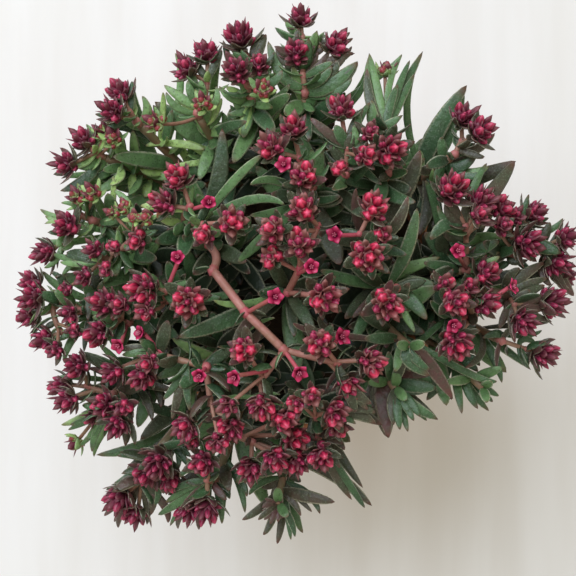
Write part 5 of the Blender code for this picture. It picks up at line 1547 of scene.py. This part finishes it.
def sepal_material():
    """Sepals: dark maroon with a paler margin, or green and brown round a young bud."""
    shader = Shader("maroon_sepal", 0.5)
    ripe, chance, darkness = shader.tint()[:3]
    across, along = shader.uv()[:2]
    base = shader.mix(chance, (0.25, 0.04, 0.055, 1), (0.2, 0.078, 0.062, 1))
    base = shader.mix(shader.step(darkness, 0.25, 0.85), base, (0.14, 0.02, 0.042, 1))
    base = shader.mix(shader.step(ripe, 0.16, 0.02), base, (0.25, 0.3, 0.11, 1))
    margin = shader.maths("ABSOLUTE", shader.maths("SUBTRACT", across, 0.5))
    pale = shader.maths("MAXIMUM", shader.step(along, 0.55, 0.85), shader.step(margin, 0.28, 0.45))
    shader.bump(shader.noise(1100), 0.15 * MM)
    pale = shader.maths("MULTIPLY", pale, shader.maths("MULTIPLY_ADD", darkness, -0.3, 0.45))
    return shader.colour(shader.mix(pale, base, (0.4, 0.2, 0.17, 1)))


def petal_material():
    """Petal: hot pink, darker towards its root."""
    shader = Shader("pink_petal", 0.4)
    chance = shader.tint()[1]
    along = shader.uv()[1]
    base = shader.ramp(along, ((0.35, (0.16, 0.004, 0.03)), (0.62, (0.42, 0.01, 0.07)),
                               (0.8, (0.72, 0.025, 0.16)), (1.0, (0.9, 0.12, 0.36))))
    shader.bump(shader.noise(1200), 0.1 * MM)
    return shader.colour(shader.mix(shader.maths("MULTIPLY", chance, 0.7), base, (0.32, 0.008, 0.06, 1)))


def anther_material():
    """The middle of a flower: dark at its heart, with pale pink tips round it."""
    shader = Shader("flower_middle", 0.5)
    tone = shader.tint()[0]
    base = shader.ramp(tone, ((0.3, (0.2, 0.008, 0.04)), (0.9, (0.6, 0.16, 0.24))))
    shader.bump(shader.noise(1500), 0.1 * MM)
    return shader.colour(base)


def clay_material():
    """Unglazed clay: orange-brown with darker clouds, a pale bloom and fine grain."""
    shader = Shader("terracotta", 0.85, specular=0.3)
    cloudy = shader.step(shader.noise(22, 4), 0.35, 0.7)
    clouds = shader.mix(cloudy, (0.42, 0.16, 0.085, 1), (0.56, 0.25, 0.14, 1))
    bloom = shader.maths("MULTIPLY", shader.step(shader.noise(48, 6), 0.55, 0.8), 0.35)
    grain = shader.noise(900, 4)
    pits = shader.spots(420, 0.16)
    speckled = shader.mix(shader.maths("MULTIPLY", pits, 0.4), clouds, (0.24, 0.09, 0.05, 1))
    shader.bump(shader.maths("SUBTRACT", grain, shader.maths("MULTIPLY", pits, 0.6)), 0.3 * MM)
    return shader.colour(shader.mix(bloom, speckled, (0.72, 0.52, 0.42, 1)))


def soil_material():
    """Dark potting soil with lighter fibres."""
    shader = Shader("potting_soil", 0.95, specular=0.2)
    crumbs = shader.noise(420, 5)
    base = shader.mix(crumbs, (0.012, 0.008, 0.005, 1), (0.06, 0.038, 0.022, 1))
    fibres = shader.maths("MULTIPLY", shader.spots(300, 0.18), 0.5)
    shader.bump(crumbs, 0.8 * MM, 0.9)
    return shader.colour(shader.mix(fibres, base, (0.16, 0.11, 0.07, 1)))


def floor_material():
    """A pale whitewashed board, with the faintest long grain."""
    shader = Shader("pale_floor", 0.6, specular=0.3)
    stretched = shader.node("Mapping", {0: shader.place(), "Scale": (14.0, 1.6, 1.0)}).outputs[0]
    grain = shader.step(shader.noise(3.0, 6, stretched), 0.3, 0.7)
    return shader.colour(shader.mix(grain, (0.83, 0.83, 0.825, 1), (0.77, 0.76, 0.74, 1)))


def make_floor():
    """The pale floor that the pot stands on."""
    deselect()
    bpy.ops.mesh.primitive_plane_add(size=6, location=(0, 0, 0))
    floor = bpy.context.object
    floor.name = "floor"
    floor.data.materials.append(floor_material())


def make_light(name, place, target, size, power, colour):
    """A soft square light that shines from a place towards a target."""
    light = bpy.data.lights.new(name, "AREA")
    light.shape = "SQUARE"
    light.size = size
    light.energy = power
    light.color = colour
    obj = bpy.data.objects.new(name, light)
    obj.location = place
    obj.rotation_euler = (Vector(target) - Vector(place)).to_track_quat("-Z", "Y").to_euler()
    bpy.context.scene.collection.objects.link(obj)


def make_lights():
    """Soft daylight from the upper left of the picture, and an even glow from all round."""
    make_light("window_light", (-0.62, 0.85, 1.5), (0, 0, 0.1), 1.4, 31, (0.8, 0.87, 1.0))
    world = bpy.data.worlds.new("soft_room")
    bpy.context.scene.world = world
    world.use_nodes = True
    world.node_tree.nodes["Background"].inputs[0].default_value = (1.0, 0.94, 0.79, 1)
    world.node_tree.nodes["Background"].inputs[1].default_value = 0.62
    bpy.context.scene.view_settings.view_transform = "Standard"


def make_camera():
    """The photograph's own view: straight down, with the crown's middle a little off its own."""
    camera = bpy.data.cameras.new("camera")
    half_width = PICTURE_MIDDLE * PIXEL_SIZE
    camera.angle = 2 * math.atan(half_width / (EYE_HEIGHT - SIZED_HEIGHT))
    camera.clip_start = 0.01
    obj = bpy.data.objects.new("camera", camera)
    obj.location = at((PICTURE_MIDDLE, PICTURE_MIDDLE), EYE_HEIGHT)
    bpy.context.scene.collection.objects.link(obj)
    bpy.context.scene.camera = obj


def model_forms():
    """The forms that the plant's copies are made from."""
    leaf = leaf_material()
    petal = petal_material()
    stem = stem_material()
    sepal = sepal_material()
    leaflet_stations = ((0, 0.25), (0.18, 0.4), (0.42, 0.5), (0.68, 0.43), (0.88, 0.24))
    petal_stations = ((0, 0.25), (0.3, 0.46), (0.52, 0.5), (0.72, 0.34), (0.88, 0.15))
    return {
        "leaf": model_leaf(leaf),
        "leaflet": model_blade("leaflet_form", 6, leaflet_stations, 0.9, leaf),
        "petal": model_blade("petal_form", 6, petal_stations, 0.7, petal),
        "sepal": model_blade("sepal_form", 4, ((0, 0.3), (0.4, 0.5), (0.75, 0.34)), 0.8, sepal),
        "bud": model_bud(bud_material(), sepal),
        "pedicel": model_tube("pedicel_form", 5, 2, stem),
        "anther": model_blade("anther_form", 5, ((0, 0.6), (0.5, 0.9), (0.85, 0.8)), 1.0, anther_material()),
        "tube": model_tube("tube_form", 8, 7, stem),
        "knot": model_blade("knot_form", 8, ((0, 0.5), (0.3, 1.0), (0.7, 1.0)), 1.0, stem),
    }


def main():
    """Makes the view, the plant, its pot and its soil."""
    make_camera()
    make_lights()
    make_floor()
    place_stems()
    forms = model_forms()
    sprays = place_sprays()
    spray_leaves = place_spray_leaves(sprays)
    make_leafy_stems(forms, place_leaves() + place_inner_leaves() + place_outer_leaves() + spray_leaves)
    make_sprays(forms, sprays, spray_leaves)
    for form in forms.values():
        bpy.data.objects.remove(form["obj"])
    make_pot(clay_material())
    make_soil(soil_material())


main()
